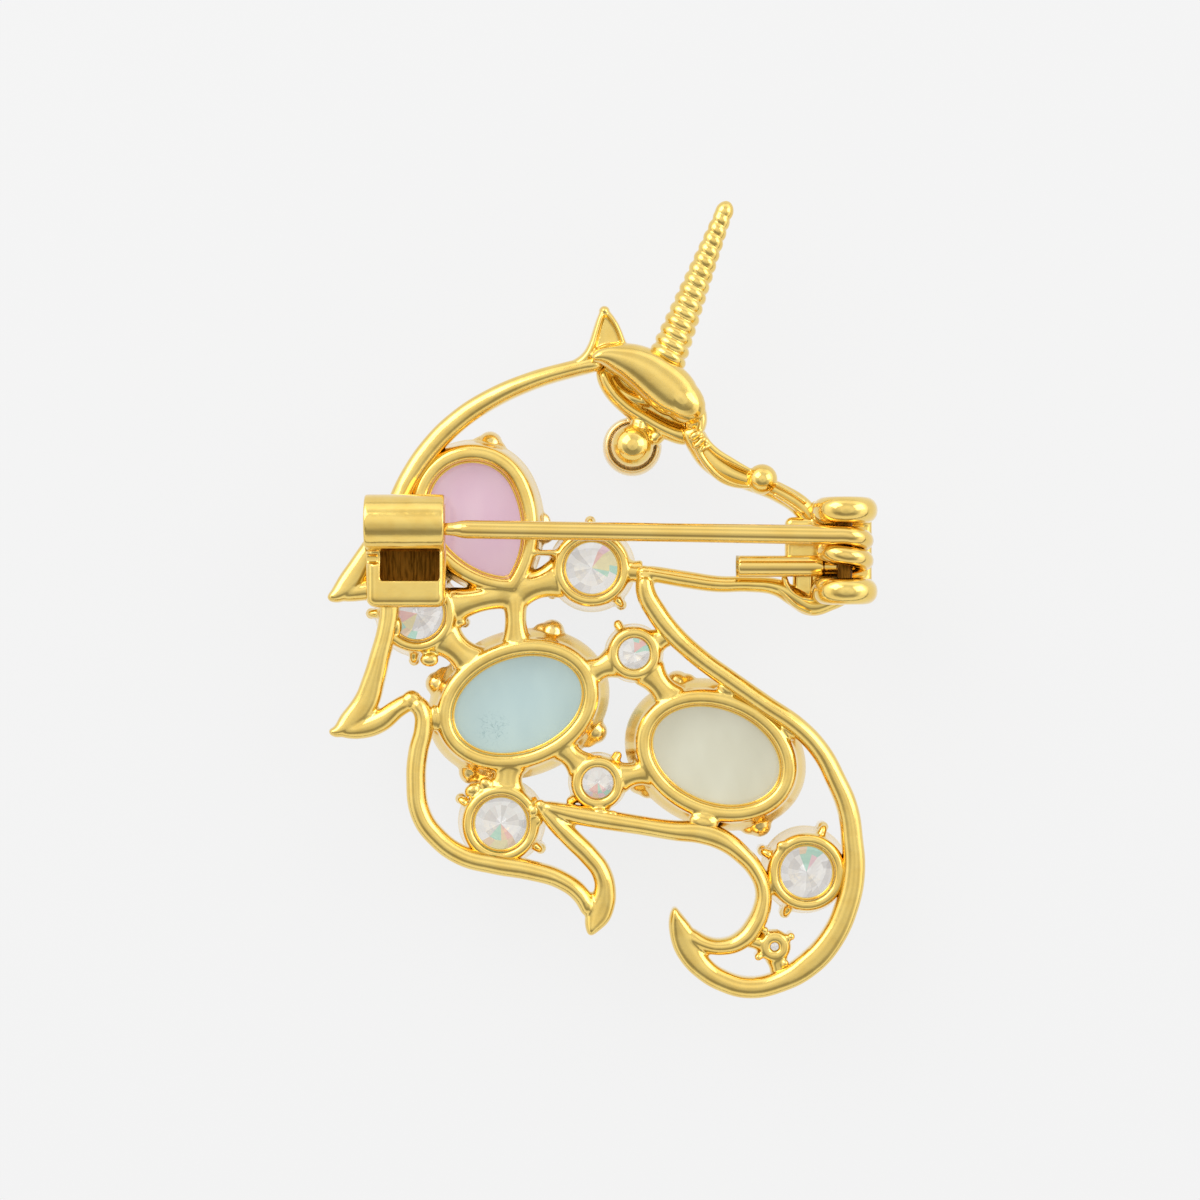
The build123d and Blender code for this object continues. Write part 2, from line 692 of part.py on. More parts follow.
def gallery():
    """The cups and their claws, joined by links and open at the back."""
    cups = Part() + [cup(row) for row in STONES]
    linked = cups + [link(row) for row in LINKS]
    held = linked + [claw for row in STONES for claw in claws(row)]
    return held - [opening(row) for row in STONES]


def outline_strands():
    """The strands of the figure, with rounded corners where they meet."""
    strands = Part() + [bar(rows, FRAME_BACK - drop * BAR_DEPTH) for rows, drop in STRANDS]
    return strands + [knob(row) for row in (CREST_RETURN[-1], SECOND_RETURN[-1], CURL[0], NECK[0])]


def head():
    """The head: brow, cheek, ear, horn, eye and the ball on the nose."""
    nose_ball = Pos(*spot(*NOSE_BALL_SPOT)) * Pos(0, 0, FRAME_BACK - BAR_DEPTH / 3) * Sphere(NOSE_BALL / 2)
    return Part() + [
        bar(BROW, FRAME_BACK + BROW_RISE, BROW_DEPTH),
        bar(CHEEK, FRAME_BACK - CHEEK_DROP, CHEEK_DEPTH),
        bar(EAR, FRAME_BACK, EAR_DEPTH),
        nose_ball,
        horn(),
        eye(),
        eye_stem(),
    ]


def frame():
    """All the soldered metal, in one piece, with room for the stones and a bore for the rivet."""
    fittings = Part() + hinge() + [catch()]
    whole = outline_strands() + head() + fittings + gallery()
    rooms = [seat(row) * stone_body(row[1], STONE_GAP) for row in STONES]
    return whole - [*rooms, rivet(RIVET_DIAMETER + 2 * RIVET_FIT)]


def main():
    """Writes each piece to its own file."""
    os.makedirs("parts", exist_ok=True)
    nodes = {"unicorn_frame": frame(), "pin_wire": pin_wire(), "hinge_rivet": rivet(RIVET_DIAMETER)}
    for row in STONES:
        nodes[row[0]] = seat(row) * stone_body(row[1])
    for name, body in nodes.items():
        export_step(body, f"parts/{name}.step")
        box = body.bounding_box()
        print(name, len(body.solids()), "solid,", round(body.volume, 3), "mm3", box.min, box.max)


main()
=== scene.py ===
# %% [markdown]
# A gold-plated unicorn brooch, seen from its back, as a lesson in modelling a piece of jewellery.
#
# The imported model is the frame: it says where every piece of the brooch is, at its real size. Here its
# cast metal is modelled again with softer, truer forms, the stones are cut, and everything gets a finish.

# %% Load the frame
import math
import random

import bmesh
import bpy
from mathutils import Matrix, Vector


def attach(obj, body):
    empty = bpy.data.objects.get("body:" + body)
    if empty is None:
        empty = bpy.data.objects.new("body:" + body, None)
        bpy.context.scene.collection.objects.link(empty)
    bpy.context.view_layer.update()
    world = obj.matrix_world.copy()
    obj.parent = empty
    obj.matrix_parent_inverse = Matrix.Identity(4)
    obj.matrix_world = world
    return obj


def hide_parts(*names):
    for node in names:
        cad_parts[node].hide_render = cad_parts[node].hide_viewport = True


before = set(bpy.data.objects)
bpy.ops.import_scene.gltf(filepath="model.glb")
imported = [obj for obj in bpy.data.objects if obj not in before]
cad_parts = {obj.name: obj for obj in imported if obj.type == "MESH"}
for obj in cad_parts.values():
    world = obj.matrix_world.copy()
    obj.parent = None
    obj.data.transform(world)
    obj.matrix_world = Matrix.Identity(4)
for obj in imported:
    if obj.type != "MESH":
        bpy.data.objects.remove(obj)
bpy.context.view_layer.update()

print("nodes", sorted(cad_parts))

# %% [markdown]
# A jeweller thinks in millimetres, and so do the numbers below. Each piece is modelled with one Blender
# unit for a millimetre, at its true place, and is brought down to metres when it is finished.
#
# Operators work on what is selected, so small helpers choose an object, or the vertices of a place.

# %% Helpers that choose what an operator works on
MM = 0.001


def nothing_selected():
    """Leaves no object selected, so that a new one is shaped alone."""
    bpy.ops.object.select_all(action="DESELECT")


def take(obj):
    """Makes obj the one selected and active object."""
    nothing_selected()
    obj.select_set(True)
    bpy.context.view_layer.objects.active = obj
    return obj


def pick_all():
    """Selects, in edit mode, the whole mesh."""
    bpy.ops.mesh.select_all(action="SELECT")


def edit():
    """Goes into edit mode with the whole mesh selected."""
    bpy.ops.object.mode_set(mode="EDIT")
    bpy.ops.mesh.select_mode(type="VERT")
    pick_all()


def leave_edit():
    """Goes back to object mode."""
    bpy.ops.object.mode_set(mode="OBJECT")


def pick(test):
    """Selects, in edit mode, the vertices whose place passes the test."""
    mesh = bmesh.from_edit_mesh(bpy.context.object.data)
    for vert in mesh.verts:
        vert.select = bool(test(vert.co))
    mesh.select_flush(True)
    mesh.select_flush(False)
    bmesh.update_edit_mesh(bpy.context.object.data)


def pick_faces(test):
    """Selects, in edit mode, the faces whose middle and normal pass the test."""
    bpy.ops.mesh.select_mode(type="FACE")
    mesh = bmesh.from_edit_mesh(bpy.context.object.data)
    for face in mesh.faces:
        face.select_set(bool(test(face.calc_center_median(), face.normal)))
    bmesh.update_edit_mesh(bpy.context.object.data)


# %% [markdown]
# A few more helpers do what every piece needs: its faces turned outwards, its place put into its mesh, a
# modifier applied, parts joined, and in the end its name and its real size in metres.

# %% Helpers that finish a piece
def face_out():
    """Turns, in edit mode, all faces outwards."""
    pick_all()
    bpy.ops.mesh.normals_make_consistent(inside=False)


def settle():
    """Puts the place, turn and size of the active object into its mesh."""
    bpy.ops.object.transform_apply(location=True, rotation=True, scale=True)
    return bpy.context.object


def apply_modifier(obj, kind, **settings):
    """Adds a modifier with its settings and applies it."""
    take(obj)
    modifier = obj.modifiers.new(kind.title(), kind)
    for key, value in settings.items():
        setattr(modifier, key, value)
    bpy.ops.object.modifier_apply(modifier=modifier.name)
    return obj


def join(parts):
    """Joins objects into the first of them."""
    take(parts[0])
    for part in parts:
        part.select_set(True)
    bpy.ops.object.join()
    return bpy.context.object


def finish(obj, name):
    """Names a piece, smooths its shading and brings it from millimetres to metres."""
    take(obj)
    obj.name = name
    obj.data.name = name
    bpy.ops.object.shade_smooth()
    obj.scale = (MM, MM, MM)
    return settle()


# %% [markdown]
# Places are shares of the figure's width and height, as a pattern maker would lay them out on squared
# paper. The sizes are those of the frame.

# %% The figure's size and the squared paper
WIDTH = 34.5
HEIGHT = 50.0

# Width and depth of a bar, and the levels on which the backs of the bars and of the cups lie
BAR = 1.25
BAR_DEPTH = 1.9
BACK = 6.2
CUP_BACK = 5.9


def spot(across, up, level=0.0):
    """The place on the squared paper, in millimetres."""
    return Vector(((across - 0.5) * WIDTH, (up - 0.5) * HEIGHT, level))


print("figure", WIDTH, "by", HEIGHT, "mm")

# %% [markdown]
# The mane, neck and jaw are cast bars. By hand one would model such a bar straight, one section after the
# other, and then bend it along a curve, because widths are easy to see on a straight bar. The same is
# done here: a bevelled end face is extruded from stop to stop and made wider or narrower at each, the
# Subdivision Surface modifier rounds it, and the Curve modifier bends it.
#
# A slender bar has a rounded ridge along its back and a wide blade is flat, so the ridge sinks as the
# bar widens. Small parts such as the links are oval and have no ridge.

# %% A cast bar
CORNER = 0.27
RIDGE = 0.20

# The share of the usual width up to which a bar has its whole ridge, and from which it is flat
RIDGED_TO = 0.95
FLAT_FROM = 1.3

# The rounded end of an oval bar stands out past its square, so the square starts smaller
OVAL_SHARE = 0.9
OVAL = {"corner": None, "ridged": False}
NEAR = 1e-4


def ridge_height(share):
    """How high the rounded ridge stands on a bar of that share of the usual width."""
    return RIDGE * max(0.0, min(1.0, (FLAT_FROM - share) / (FLAT_FROM - RIDGED_TO)))


def straight_bar(stops, shares, depth, corner=CORNER, ridged=True):
    """A bar along X through sections at the stops, BAR wide times each share, oval without a corner."""
    nothing_selected()
    bpy.ops.mesh.primitive_plane_add(size=1, rotation=(0, math.radians(90), 0))
    bar = settle()
    edit()
    if corner:
        bpy.ops.transform.resize(value=(1, BAR, depth))
        bpy.ops.mesh.subdivide(number_cuts=1)
        pick(lambda co: abs(co.y) > 0.4 * BAR and abs(co.z) > 0.4 * depth)
        bpy.ops.mesh.bevel(offset=corner, affect="VERTICES", segments=1)
    else:
        bpy.ops.mesh.subdivide(number_cuts=3)
        pick(lambda co: max(abs(co.y), abs(co.z)) > 0.4)
        bpy.ops.transform.tosphere(value=1)
        pick_all()
        bpy.ops.transform.resize(value=(1, OVAL_SHARE * BAR, OVAL_SHARE * depth))
    pick_all()
    bpy.ops.transform.resize(value=(1, shares[0], 1))
    bpy.ops.transform.translate(value=(stops[0], 0, 0))
    for index in range(1, len(stops)):
        step = stops[index] - stops[index - 1]
        bpy.ops.mesh.extrude_region_move(TRANSFORM_OT_translate={"value": (step, 0, 0)})
        ratio = shares[index] / shares[index - 1]
        bpy.ops.transform.resize(value=(1, ratio, 1), center_override=(stops[index], 0, 0))
    if ridged:
        for stop, share in zip(stops, shares):
            pick(lambda co: abs(co.x - stop) < NEAR and abs(co.y) < NEAR and co.z > 0.4 * depth)
            bpy.ops.transform.translate(value=(0, 0, ridge_height(share)))
    face_out()
    leave_edit()
    return bar


def path_through(points):
    """A smooth curve through the points."""
    nothing_selected()
    bpy.ops.curve.primitive_bezier_curve_add()
    curve = bpy.context.object
    spline = curve.data.splines[0]
    spline.bezier_points.add(len(points) - 2)
    for knot, place in zip(spline.bezier_points, points):
        knot.co = place
        knot.handle_left_type = "AUTO"
        knot.handle_right_type = "AUTO"
    curve.data.twist_mode = "Z_UP"
    curve.data.resolution_u = 32
    bpy.context.view_layer.update()
    return curve


def strand(points, shares, depth, rounding=3, **section):
    """A cast bar bent through the points, which lie in the middle of its depth."""
    curve = path_through(points)
    chords = [(after - before).length for before, after in zip(points, points[1:])]
    stretch = curve.data.splines[0].calc_length() / sum(chords)
    stops = [stretch * sum(chords[:index]) for index in range(len(points))]
    bar = straight_bar(stops, shares, depth, **section)
    apply_modifier(bar, "SUBSURF", levels=rounding, render_levels=rounding)
    apply_modifier(bar, "CURVE", object=curve, deform_axis="POS_X")
    bpy.data.objects.remove(curve)
    return bar


# %% [markdown]
# These are the bars of the outline, a row for each section: share of the width, share of the height,
# and share of a bar's usual width. They run down the mane's crest, through its four locks, round the
# curl, down the neck and along the jaw and nose.

# %% The bars of the outline
CREST = (
    (0.505, 0.798, 0.90),
    (0.448, 0.789, 0.85),
    (0.374, 0.774, 0.95),
    (0.297, 0.750, 1.05),
    (0.241, 0.724, 1.10),
    (0.195, 0.693, 1.10),
    (0.156, 0.655, 1.05),
    (0.119, 0.603, 1.00),
    (0.073, 0.550, 1.20),
    (0.050, 0.526, 1.35),
    (0.026, 0.508, 1.05),
    (0.006, 0.501, 0.35),
)
CREST_RETURN = (
    (0.026, 0.505, 0.70),
    (0.062, 0.511, 1.10),
    (0.115, 0.516, 1.10),
)
SECOND_LOCK = (
    (0.116, 0.515, 1.10),
    (0.118, 0.488, 1.05),
    (0.112, 0.460, 1.00),
    (0.101, 0.431, 1.05),
    (0.089, 0.400, 1.15),
    (0.074, 0.371, 1.35),
    (0.046, 0.348, 1.25),
    (0.024, 0.336, 0.75),
    (0.008, 0.335, 0.30),
)
SECOND_RETURN = (
    (0.020, 0.335, 0.50),
    (0.060, 0.338, 1.10),
    (0.101, 0.348, 1.20),
    (0.132, 0.364, 0.95),
    (0.158, 0.375, 1.00),
)
THIRD_LOCK = (
    (0.162, 0.375, 1.00),
    (0.178, 0.359, 0.95),
    (0.179, 0.338, 0.95),
    (0.170, 0.310, 1.05),
    (0.166, 0.275, 1.00),
    (0.175, 0.231, 1.05),
    (0.203, 0.203, 1.05),
    (0.248, 0.180, 1.00),
    (0.309, 0.169, 1.05),
    (0.376, 0.161, 1.05),
    (0.430, 0.149, 0.95),
    (0.466, 0.130, 0.95),
    (0.483, 0.106, 0.85),
)
FOURTH_LOCK = (
    (0.392, 0.243, 0.75),
    (0.420, 0.221, 1.00),
    (0.450, 0.200, 1.05),
    (0.481, 0.179, 1.05),
    (0.503, 0.158, 1.00),
    (0.509, 0.134, 1.10),
    (0.499, 0.110, 1.50),
    (0.488, 0.093, 1.05),
    (0.481, 0.080, 0.30),
)
CURL = (
    (0.392, 0.243, 0.60),
    (0.438, 0.234, 1.00),
    (0.499, 0.226, 1.05),
    (0.571, 0.218, 0.95),
    (0.635, 0.211, 1.00),
    (0.685, 0.208, 1.15),
    (0.723, 0.199, 1.10),
    (0.758, 0.181, 0.95),
    (0.783, 0.161, 0.90),
    (0.796, 0.138, 0.80),
    (0.794, 0.114, 0.95),
    (0.781, 0.093, 1.00),
    (0.759, 0.075, 1.00),
    (0.725, 0.066, 0.85),
    (0.687, 0.070, 0.85),
    (0.658, 0.083, 0.90),
)
NECK = (
    (0.580, 0.533, 0.85),
    (0.584, 0.508, 1.05),
    (0.602, 0.485, 1.10),
    (0.631, 0.459, 1.05),
    (0.680, 0.428, 1.00),
    (0.736, 0.400, 1.00),
    (0.798, 0.370, 1.00),
    (0.861, 0.340, 1.00),
    (0.901, 0.310, 1.00),
    (0.928, 0.275, 1.05),
    (0.949, 0.240, 1.10),
    (0.958, 0.200, 1.10),
    (0.961, 0.160, 1.15),
    (0.949, 0.118, 1.20),
    (0.920, 0.075, 1.25),
    (0.879, 0.044, 1.35),
    (0.828, 0.023, 1.10),
    (0.774, 0.0145, 1.10),
    (0.723, 0.023, 1.10),
    (0.687, 0.039, 1.15),
    (0.662, 0.061, 1.40),
    (0.647, 0.085, 1.30),
    (0.638, 0.103, 0.80),
    (0.635, 0.116, 0.25),
)
JAW = (
    (0.577, 0.535, 0.80),
    (0.611, 0.531, 0.85),
    (0.662, 0.525, 0.90),
    (0.716, 0.520, 0.85),
    (0.770, 0.520, 0.80),
    (0.821, 0.516, 0.90),
    (0.855, 0.503, 1.00),
    (0.883, 0.493, 1.10),
    (0.919, 0.498, 0.90),
    (0.955, 0.508, 0.80),
)
NOSE = (
    (0.662, 0.719, 1.20),
    (0.680, 0.695, 1.20),
    (0.702, 0.675, 1.25),
    (0.734, 0.660, 1.10),
    (0.774, 0.649, 1.00),
    (0.825, 0.635, 1.00),
    (0.872, 0.613, 1.10),
    (0.892, 0.590, 1.10),
)

# Each bar's drop below the back, as a share of its depth
OUTLINE_BARS = (
    (CREST, 0.00),
    (CREST_RETURN, 0.06),
    (SECOND_LOCK, 0.02),
    (SECOND_RETURN, 0.05),
    (THIRD_LOCK, 0.01),
    (FOURTH_LOCK, 0.04),
    (CURL, 0.02),
    (NECK, 0.00),
    (JAW, 0.07),
    (NOSE, 0.22),
)


def laid_bar(rows, back, depth, **section):
    """A bar through a table's rows, with its back at one level."""
    level = back - depth / 2
    points = [spot(across, up, level) for across, up, _ in rows]
    return strand(points, [share for _, _, share in rows], depth, **section)


bars = [laid_bar(rows, BACK - drop * BAR_DEPTH, BAR_DEPTH) for rows, drop in OUTLINE_BARS]
print("bars", len(bars))

# %% [markdown]
# Where two bars meet at a corner the casting is rounded and full. A ball stretched into a short post
# fills each of those corners.

# %% Rounded corners
def post(place, radius, low, high):
    """A post with domed ends, stretched from a ball."""
    nothing_selected()
    bpy.ops.mesh.primitive_uv_sphere_add(segments=24, ring_count=12, radius=radius)
    ball = bpy.context.object
    edit()
    pick(lambda co: co.z > -NEAR)
    bpy.ops.transform.translate(value=(0, 0, max(0.0, high - low - 2 * radius)))
    pick_all()
    bpy.ops.transform.translate(value=(place.x, place.y, low + radius))
    leave_edit()
    return ball


def pebble(place, size, turn=0.0):
    """A flattened ball of three given sizes, as solder and cast lumps have."""
    nothing_selected()
    bpy.ops.mesh.primitive_uv_sphere_add(segments=24, ring_count=12, radius=0.5)
    ball = bpy.context.object
    ball.scale = size
    ball.rotation_euler = (0, 0, math.radians(turn))
    ball.location = place
    return settle()


CORNERS = (CREST_RETURN[-1], SECOND_RETURN[-1], CURL[0], NECK[0])
POST_DROP = 0.05
bars += [
    post(spot(across, up), 0.5 * share * BAR, BACK - BAR_DEPTH, BACK - POST_DROP)
    for across, up, share in CORNERS
]
print("bars and corner posts", len(bars))

# %% [markdown]
# The head is cast with the outline. The brow is a wide oval bar with a high back, and ends over the nose
# in a full round lobe, which is a flattened ball sunk into the end of the bar. The cheek below it is
# slender, and in the slot between the two lies a sunken floor with a wavy ridge. The ear is a thin leaf
# with a raised edge: two slender bars run up its sides and meet at the tip.

# %% Brow, cheek and ear
BROW = (
    (0.485, 0.801, 0.45),
    (0.508, 0.805, 1.20),
    (0.539, 0.801, 1.75),
    (0.573, 0.791, 2.25),
    (0.608, 0.774, 2.50),
    (0.634, 0.759, 2.50),
    (0.648, 0.7505, 2.20),
    (0.658, 0.744, 1.70),
)
BROW_RIM = (
    (0.640, 0.785, 0.30),
    (0.668, 0.759, 0.55),
    (0.683, 0.736, 0.60),
    (0.684, 0.717, 0.50),
    (0.677, 0.707, 0.35),
)
CHEEK = (
    (0.503, 0.792, 0.80),
    (0.514, 0.770, 0.80),
    (0.543, 0.746, 0.80),
    (0.582, 0.728, 0.85),
    (0.622, 0.713, 0.90),
    (0.664, 0.703, 1.00),
)
EAR = (
    (0.515, 0.796, 1.90),
    (0.514, 0.812, 1.85),
    (0.514, 0.826, 1.55),
    (0.512, 0.840, 1.15),
    (0.510, 0.852, 0.80),
    (0.508, 0.862, 0.35),
)
EAR_LEFT = (
    (0.440, 0.789, 0.60),
    (0.460, 0.795, 0.70),
    (0.475, 0.804, 0.60),
    (0.486, 0.818, 0.50),
    (0.493, 0.834, 0.45),
    (0.500, 0.850, 0.42),
    (0.506, 0.861, 0.40),
)
EAR_RIGHT = (
    (0.545, 0.814, 0.40),
    (0.539, 0.827, 0.34),
    (0.531, 0.841, 0.34),
    (0.521, 0.852, 0.36),
    (0.510, 0.861, 0.40),
)

# The floor of the slot and the wavy ridge on it
SLOT_FLOOR = (
    (0.510, 0.796, 1.30),
    (0.536, 0.779, 1.80),
    (0.567, 0.761, 2.10),
    (0.605, 0.744, 2.10),
    (0.640, 0.727, 1.70),
    (0.667, 0.711, 1.00),
)
SLOT_RIDGE = (
    (0.517, 0.784, 0.40),
    (0.527, 0.770, 0.55),
    (0.545, 0.759, 0.42),
    (0.566, 0.752, 0.55),
    (0.592, 0.747, 0.35),
)

# Each bar with the level of its back and its depth, and each ball with its place, sizes and turn
BROW_BACK = 6.9
head = [
    laid_bar(BROW, BROW_BACK, 2.6, **OVAL),
    pebble(spot(0.646, 0.752, BROW_BACK - 1.20), (3.7, 2.62, 2.50), -46),
    pebble(spot(0.669, 0.722, 5.2), (1.1, 1.1, 1.5)),
    pebble(spot(0.508, 0.8615, BACK - 0.7), (0.72, 0.72, 1.4)),
    laid_bar(CHEEK, 5.3, 1.6),
    laid_bar(EAR, BACK - 0.35, 1.2, corner=0.16, ridged=False),
    laid_bar(BROW_RIM, 6.1, 1.6, **OVAL),
    laid_bar(EAR_LEFT, BACK, 1.7, **OVAL),
    laid_bar(EAR_RIGHT, BACK, 1.6, **OVAL),
    laid_bar(SLOT_FLOOR, 4.7, 0.6),
    laid_bar(SLOT_RIDGE, 5.15, 0.8, **OVAL),
]
print("parts of the head", len(head))

# %% [markdown]
# Round work such as the eye's cup is turned. Here an outline is stacked upon itself, ring over ring, each
# at its own width, and then each ring is set at its level. The same stack makes the cups of the stones,
# which aren't round, so the rings follow the stone's outline. While the rings are made they stand far
# apart and above everything, so that each is easy to select.
#
# A pear's outline is three arcs. One vertex is spun through them.

# %% A stack of rings
ROUND_SIDES = 72
STACK = 100.0
STACK_STEP = 10.0

# Half length and half width; a pear's length goes from its head's centre to its point
SIZES = {
    "oval": (5.6, 4.35),
    "pear": (6.2, 3.95),
    "large": (2.5, 2.5),
    "small": (1.6, 1.6),
    "tiny": (0.75, 0.75),
}


def pear_side(half_width, point):
    """The radius of the side arcs of a pear outline."""
    return (half_width**2 + point**2) / (2 * half_width)


def spin(centre, angle, steps):
    """Spins the selected vertex anticlockwise round a point. The operator itself goes clockwise."""
    bpy.ops.mesh.spin(steps=steps, angle=-math.radians(angle), center=(*centre, 0), axis=(0, 0, 1))


def start_outline(cut):
    """The stone's own outline as one closed loop, left in edit mode with all of it selected."""
    half_length, half_width = SIZES[cut]
    nothing_selected()
    if cut != "pear":
        bpy.ops.mesh.primitive_circle_add(vertices=ROUND_SIDES, radius=1, fill_type="NOTHING")
        edit()
        bpy.ops.transform.resize(value=(half_length, half_width, 1))
        return
    side = pear_side(half_width, half_length)
    turn = math.degrees(math.asin(half_length / side))
    bpy.ops.mesh.primitive_plane_add(size=1)
    edit()
    bpy.ops.mesh.merge(type="CENTER")
    bpy.ops.transform.translate(value=(0, -half_length, 0))
    spin((half_width - side, 0), turn, 24)
    spin((0, 0), 180, 36)
    spin((side - half_width, 0), turn, 24)
    pick_all()
    bpy.ops.mesh.remove_doubles(threshold=0.001)


def at_ring(index):
    """A test for the vertices of one ring of the stack."""
    return lambda co: abs(co.z - STACK - index * STACK_STEP) < 1e-2


def stack(cut, rows, end="ring"):
    """Rings on a stone's outline, each grown and set at its level, closed as a ring, a point or flat."""
    half_length, half_width = SIZES[cut]
    start_outline(cut)
    bpy.ops.transform.translate(value=(0, 0, STACK))
    grown = 0.0
    for index, (grow, _) in enumerate(rows):
        if index:
            pick(at_ring(index - 1))
            bpy.ops.mesh.extrude_region_move(TRANSFORM_OT_translate={"value": (0, 0, STACK_STEP)})
        long = (half_length + grow) / (half_length + grown)
        wide = (half_width + grow) / (half_width + grown)
        if cut == "pear":
            bpy.ops.transform.resize(value=(wide, wide, 1), center_override=(0, 0, 0))
            pick(lambda co: at_ring(index)(co) and co.y < -NEAR)
            bpy.ops.transform.resize(value=(1, long / wide, 1), center_override=(0, 0, 0))
        else:
            bpy.ops.transform.resize(value=(long, wide, 1), center_override=(0, 0, 0))
        grown = grow
    last = len(rows) - 1
    if end == "ring":
        pick(lambda co: at_ring(0)(co) or at_ring(last)(co))
        bpy.ops.mesh.bridge_edge_loops()
    else:
        pick(at_ring(0))
        bpy.ops.mesh.edge_face_add()
        pick(at_ring(last))
        if end == "point":
            bpy.ops.mesh.merge(type="CENTER")
        else:
            bpy.ops.mesh.edge_face_add()
    for index, (_, level) in enumerate(rows):
        pick(at_ring(index))
        bpy.ops.transform.translate(value=(0, 0, level - STACK - index * STACK_STEP))
    face_out()
    leave_edit()
    return bpy.context.object


def lay(obj, place, turn=0.0):
    """Turns a piece that was modelled at the origin and moves it to its place."""
    take(obj)
    obj.rotation_euler = (0, 0, math.radians(turn))
    obj.location = place
    return settle()


# %% [markdown]
# The eye hangs from the cheek by a stem and a thin web. It is a closed cup with a rolled edge, seen from
# behind, and a ball sits in it. Thin ridges run along the nose and towards the hinge, a smaller ball sits
# on the nose, and between brow and nose the casting is crumpled into a tuft.

# %% Eye and ball on the nose
EYE = (0.559, 0.694)

# Growth from a round of 1.6 mm half width, and level
EYE_ROWS = (
    (-1.30, 0.00),
    (-0.75, 0.35),
    (-0.20, 1.15),
    (0.08, 2.10),
    (0.20, 2.80),
    (0.28, 3.40),
    (0.24, 3.85),
    (0.10, 4.15),
    (-0.06, 4.20),
    (-0.14, 4.05),
    (-0.16, 3.70),
    (-1.20, 3.65),
)
EYE_WEB = ((0.612, 0.716, 1.0), (0.603, 0.706, 0.8), (0.594, 0.698, 0.8))
EYE_STEM = ((0.571, 0.728, 1.1), (0.573, 0.719, 0.8), (0.571, 0.712, 0.9))
EYE_BALL = 2.72
head += [
    lay(stack("small", EYE_ROWS, end="flat"), spot(*EYE)),
    pebble(spot(*EYE, 4.75), (EYE_BALL, EYE_BALL, EYE_BALL)),
    laid_bar(EYE_WEB, 5.1, 1.6),
    laid_bar(EYE_STEM, 5.3, 1.4),
]

# Ridges along the nose, and the tuft where it leaves the brow
NOSE_RIDGES = (
    ((0.680, 0.709, 0.40), (0.706, 0.688, 0.42), (0.740, 0.673, 0.40), (0.790, 0.656, 0.15)),
    ((0.670, 0.698, 0.40), (0.696, 0.668, 0.42), (0.730, 0.648, 0.40), (0.786, 0.640, 0.15)),
    ((0.818, 0.645, 0.25), (0.846, 0.634, 0.25), (0.874, 0.621, 0.25)),
    ((0.814, 0.633, 0.25), (0.842, 0.621, 0.25), (0.869, 0.607, 0.25)),
    ((0.833, 0.531, 0.34), (0.840, 0.517, 0.36), (0.857, 0.505, 0.36), (0.890, 0.499, 0.32)),
    ((0.806, 0.523, 0.30), (0.831, 0.509, 0.34), (0.857, 0.493, 0.36), (0.884, 0.484, 0.32)),
)
NOSE_BALL = 1.95
head += [laid_bar(rows, 6.18, 0.9, **OVAL) for rows in NOSE_RIDGES]
head.append(pebble(spot(0.794, 0.651, 5.75), (NOSE_BALL, NOSE_BALL, NOSE_BALL)))
TUFT = ((0.672, 0.706, 0.50), (0.684, 0.699, 0.42), (0.677, 0.694, 0.46), (0.690, 0.690, 0.36))
head += [pebble(spot(across, up, 6.0), (size * 1.9, size, 0.7), 35) for across, up, size in TUFT]
print("parts of the head with its eye and nose", len(head))

# %% [markdown]
# A real casting has no sharp line where one bar runs into the next: the wax was one piece. Joining the
# bars and remeshing them in small voxels makes one skin, and a Smooth modifier lets it flow together as
# the wax did. Decimate then takes away the triangles that a nearly flat face doesn't need, so that no
# piece has more than the limit.
#
# A tiny hollow between two bars can come out of the remesh as a speck, a loose island of a few vertices.
# It is no part of the casting, so it is picked by its size and deleted.

# %% One skin over joined pieces
TRIANGLE_LIMIT = 196000
SPECK = 50


def pick_specks():
    """Selects, in edit mode, every loose island that has fewer vertices than a speck may have."""
    mesh = bmesh.from_edit_mesh(bpy.context.object.data)
    waiting = set(mesh.verts)
    specks = 0
    while waiting:
        island = {waiting.pop()}
        front = set(island)
        while front:
            front = {edge.other_vert(vert) for vert in front for edge in vert.link_edges} - island
            island |= front
        waiting -= island
        small = len(island) < SPECK
        specks += small
        for vert in island:
            vert.select = small
    mesh.select_flush(True)
    mesh.select_flush(False)
    bmesh.update_edit_mesh(bpy.context.object.data)
    return specks


def cast(name, parts, voxel, smoothing, keep=0.5):
    """Joins parts into one casting with a soft skin, and brings it to metres."""
    casting = join(parts)
    apply_modifier(casting, "REMESH", mode="VOXEL", voxel_size=voxel, adaptivity=0.0)
    apply_modifier(casting, "SMOOTH", factor=0.5, iterations=smoothing)
    apply_modifier(casting, "DECIMATE", ratio=keep)
    edit()
    specks = pick_specks()
    bpy.ops.mesh.delete(type="VERT")
    leave_edit()
    finish(casting, name)
    triangles = sum(len(face.vertices) - 2 for face in casting.data.polygons)
    print(name, triangles, "triangles, specks deleted", specks)
    assert triangles < TRIANGLE_LIMIT
    return casting


outline = cast("cast_outline", bars, 0.09, 4)
head = cast("cast_head", head, 0.06, 3)

# %% [markdown]
# The horn is one thread wound round a cone. It is easier to wind it round a cylinder first: the Screw
# modifier turns a circle through fourteen turns, a core fills the inside, a flattened ball rounds the
# tip, and Simple Deform tapers them all.

# %% Horn
HORN_LENGTH = 10.24
HORN_BASE = 2.40
HORN_TIP = 0.94
HORN_TURNS = 14
HORN_LEAN = 21.3

# Radius of the thread, how far it stands out past the base's radius, and how far below the tip it ends
THREAD = 0.38
THREAD_OUT = 0.05
THREAD_END = 0.35
CORE_INSET = 0.21

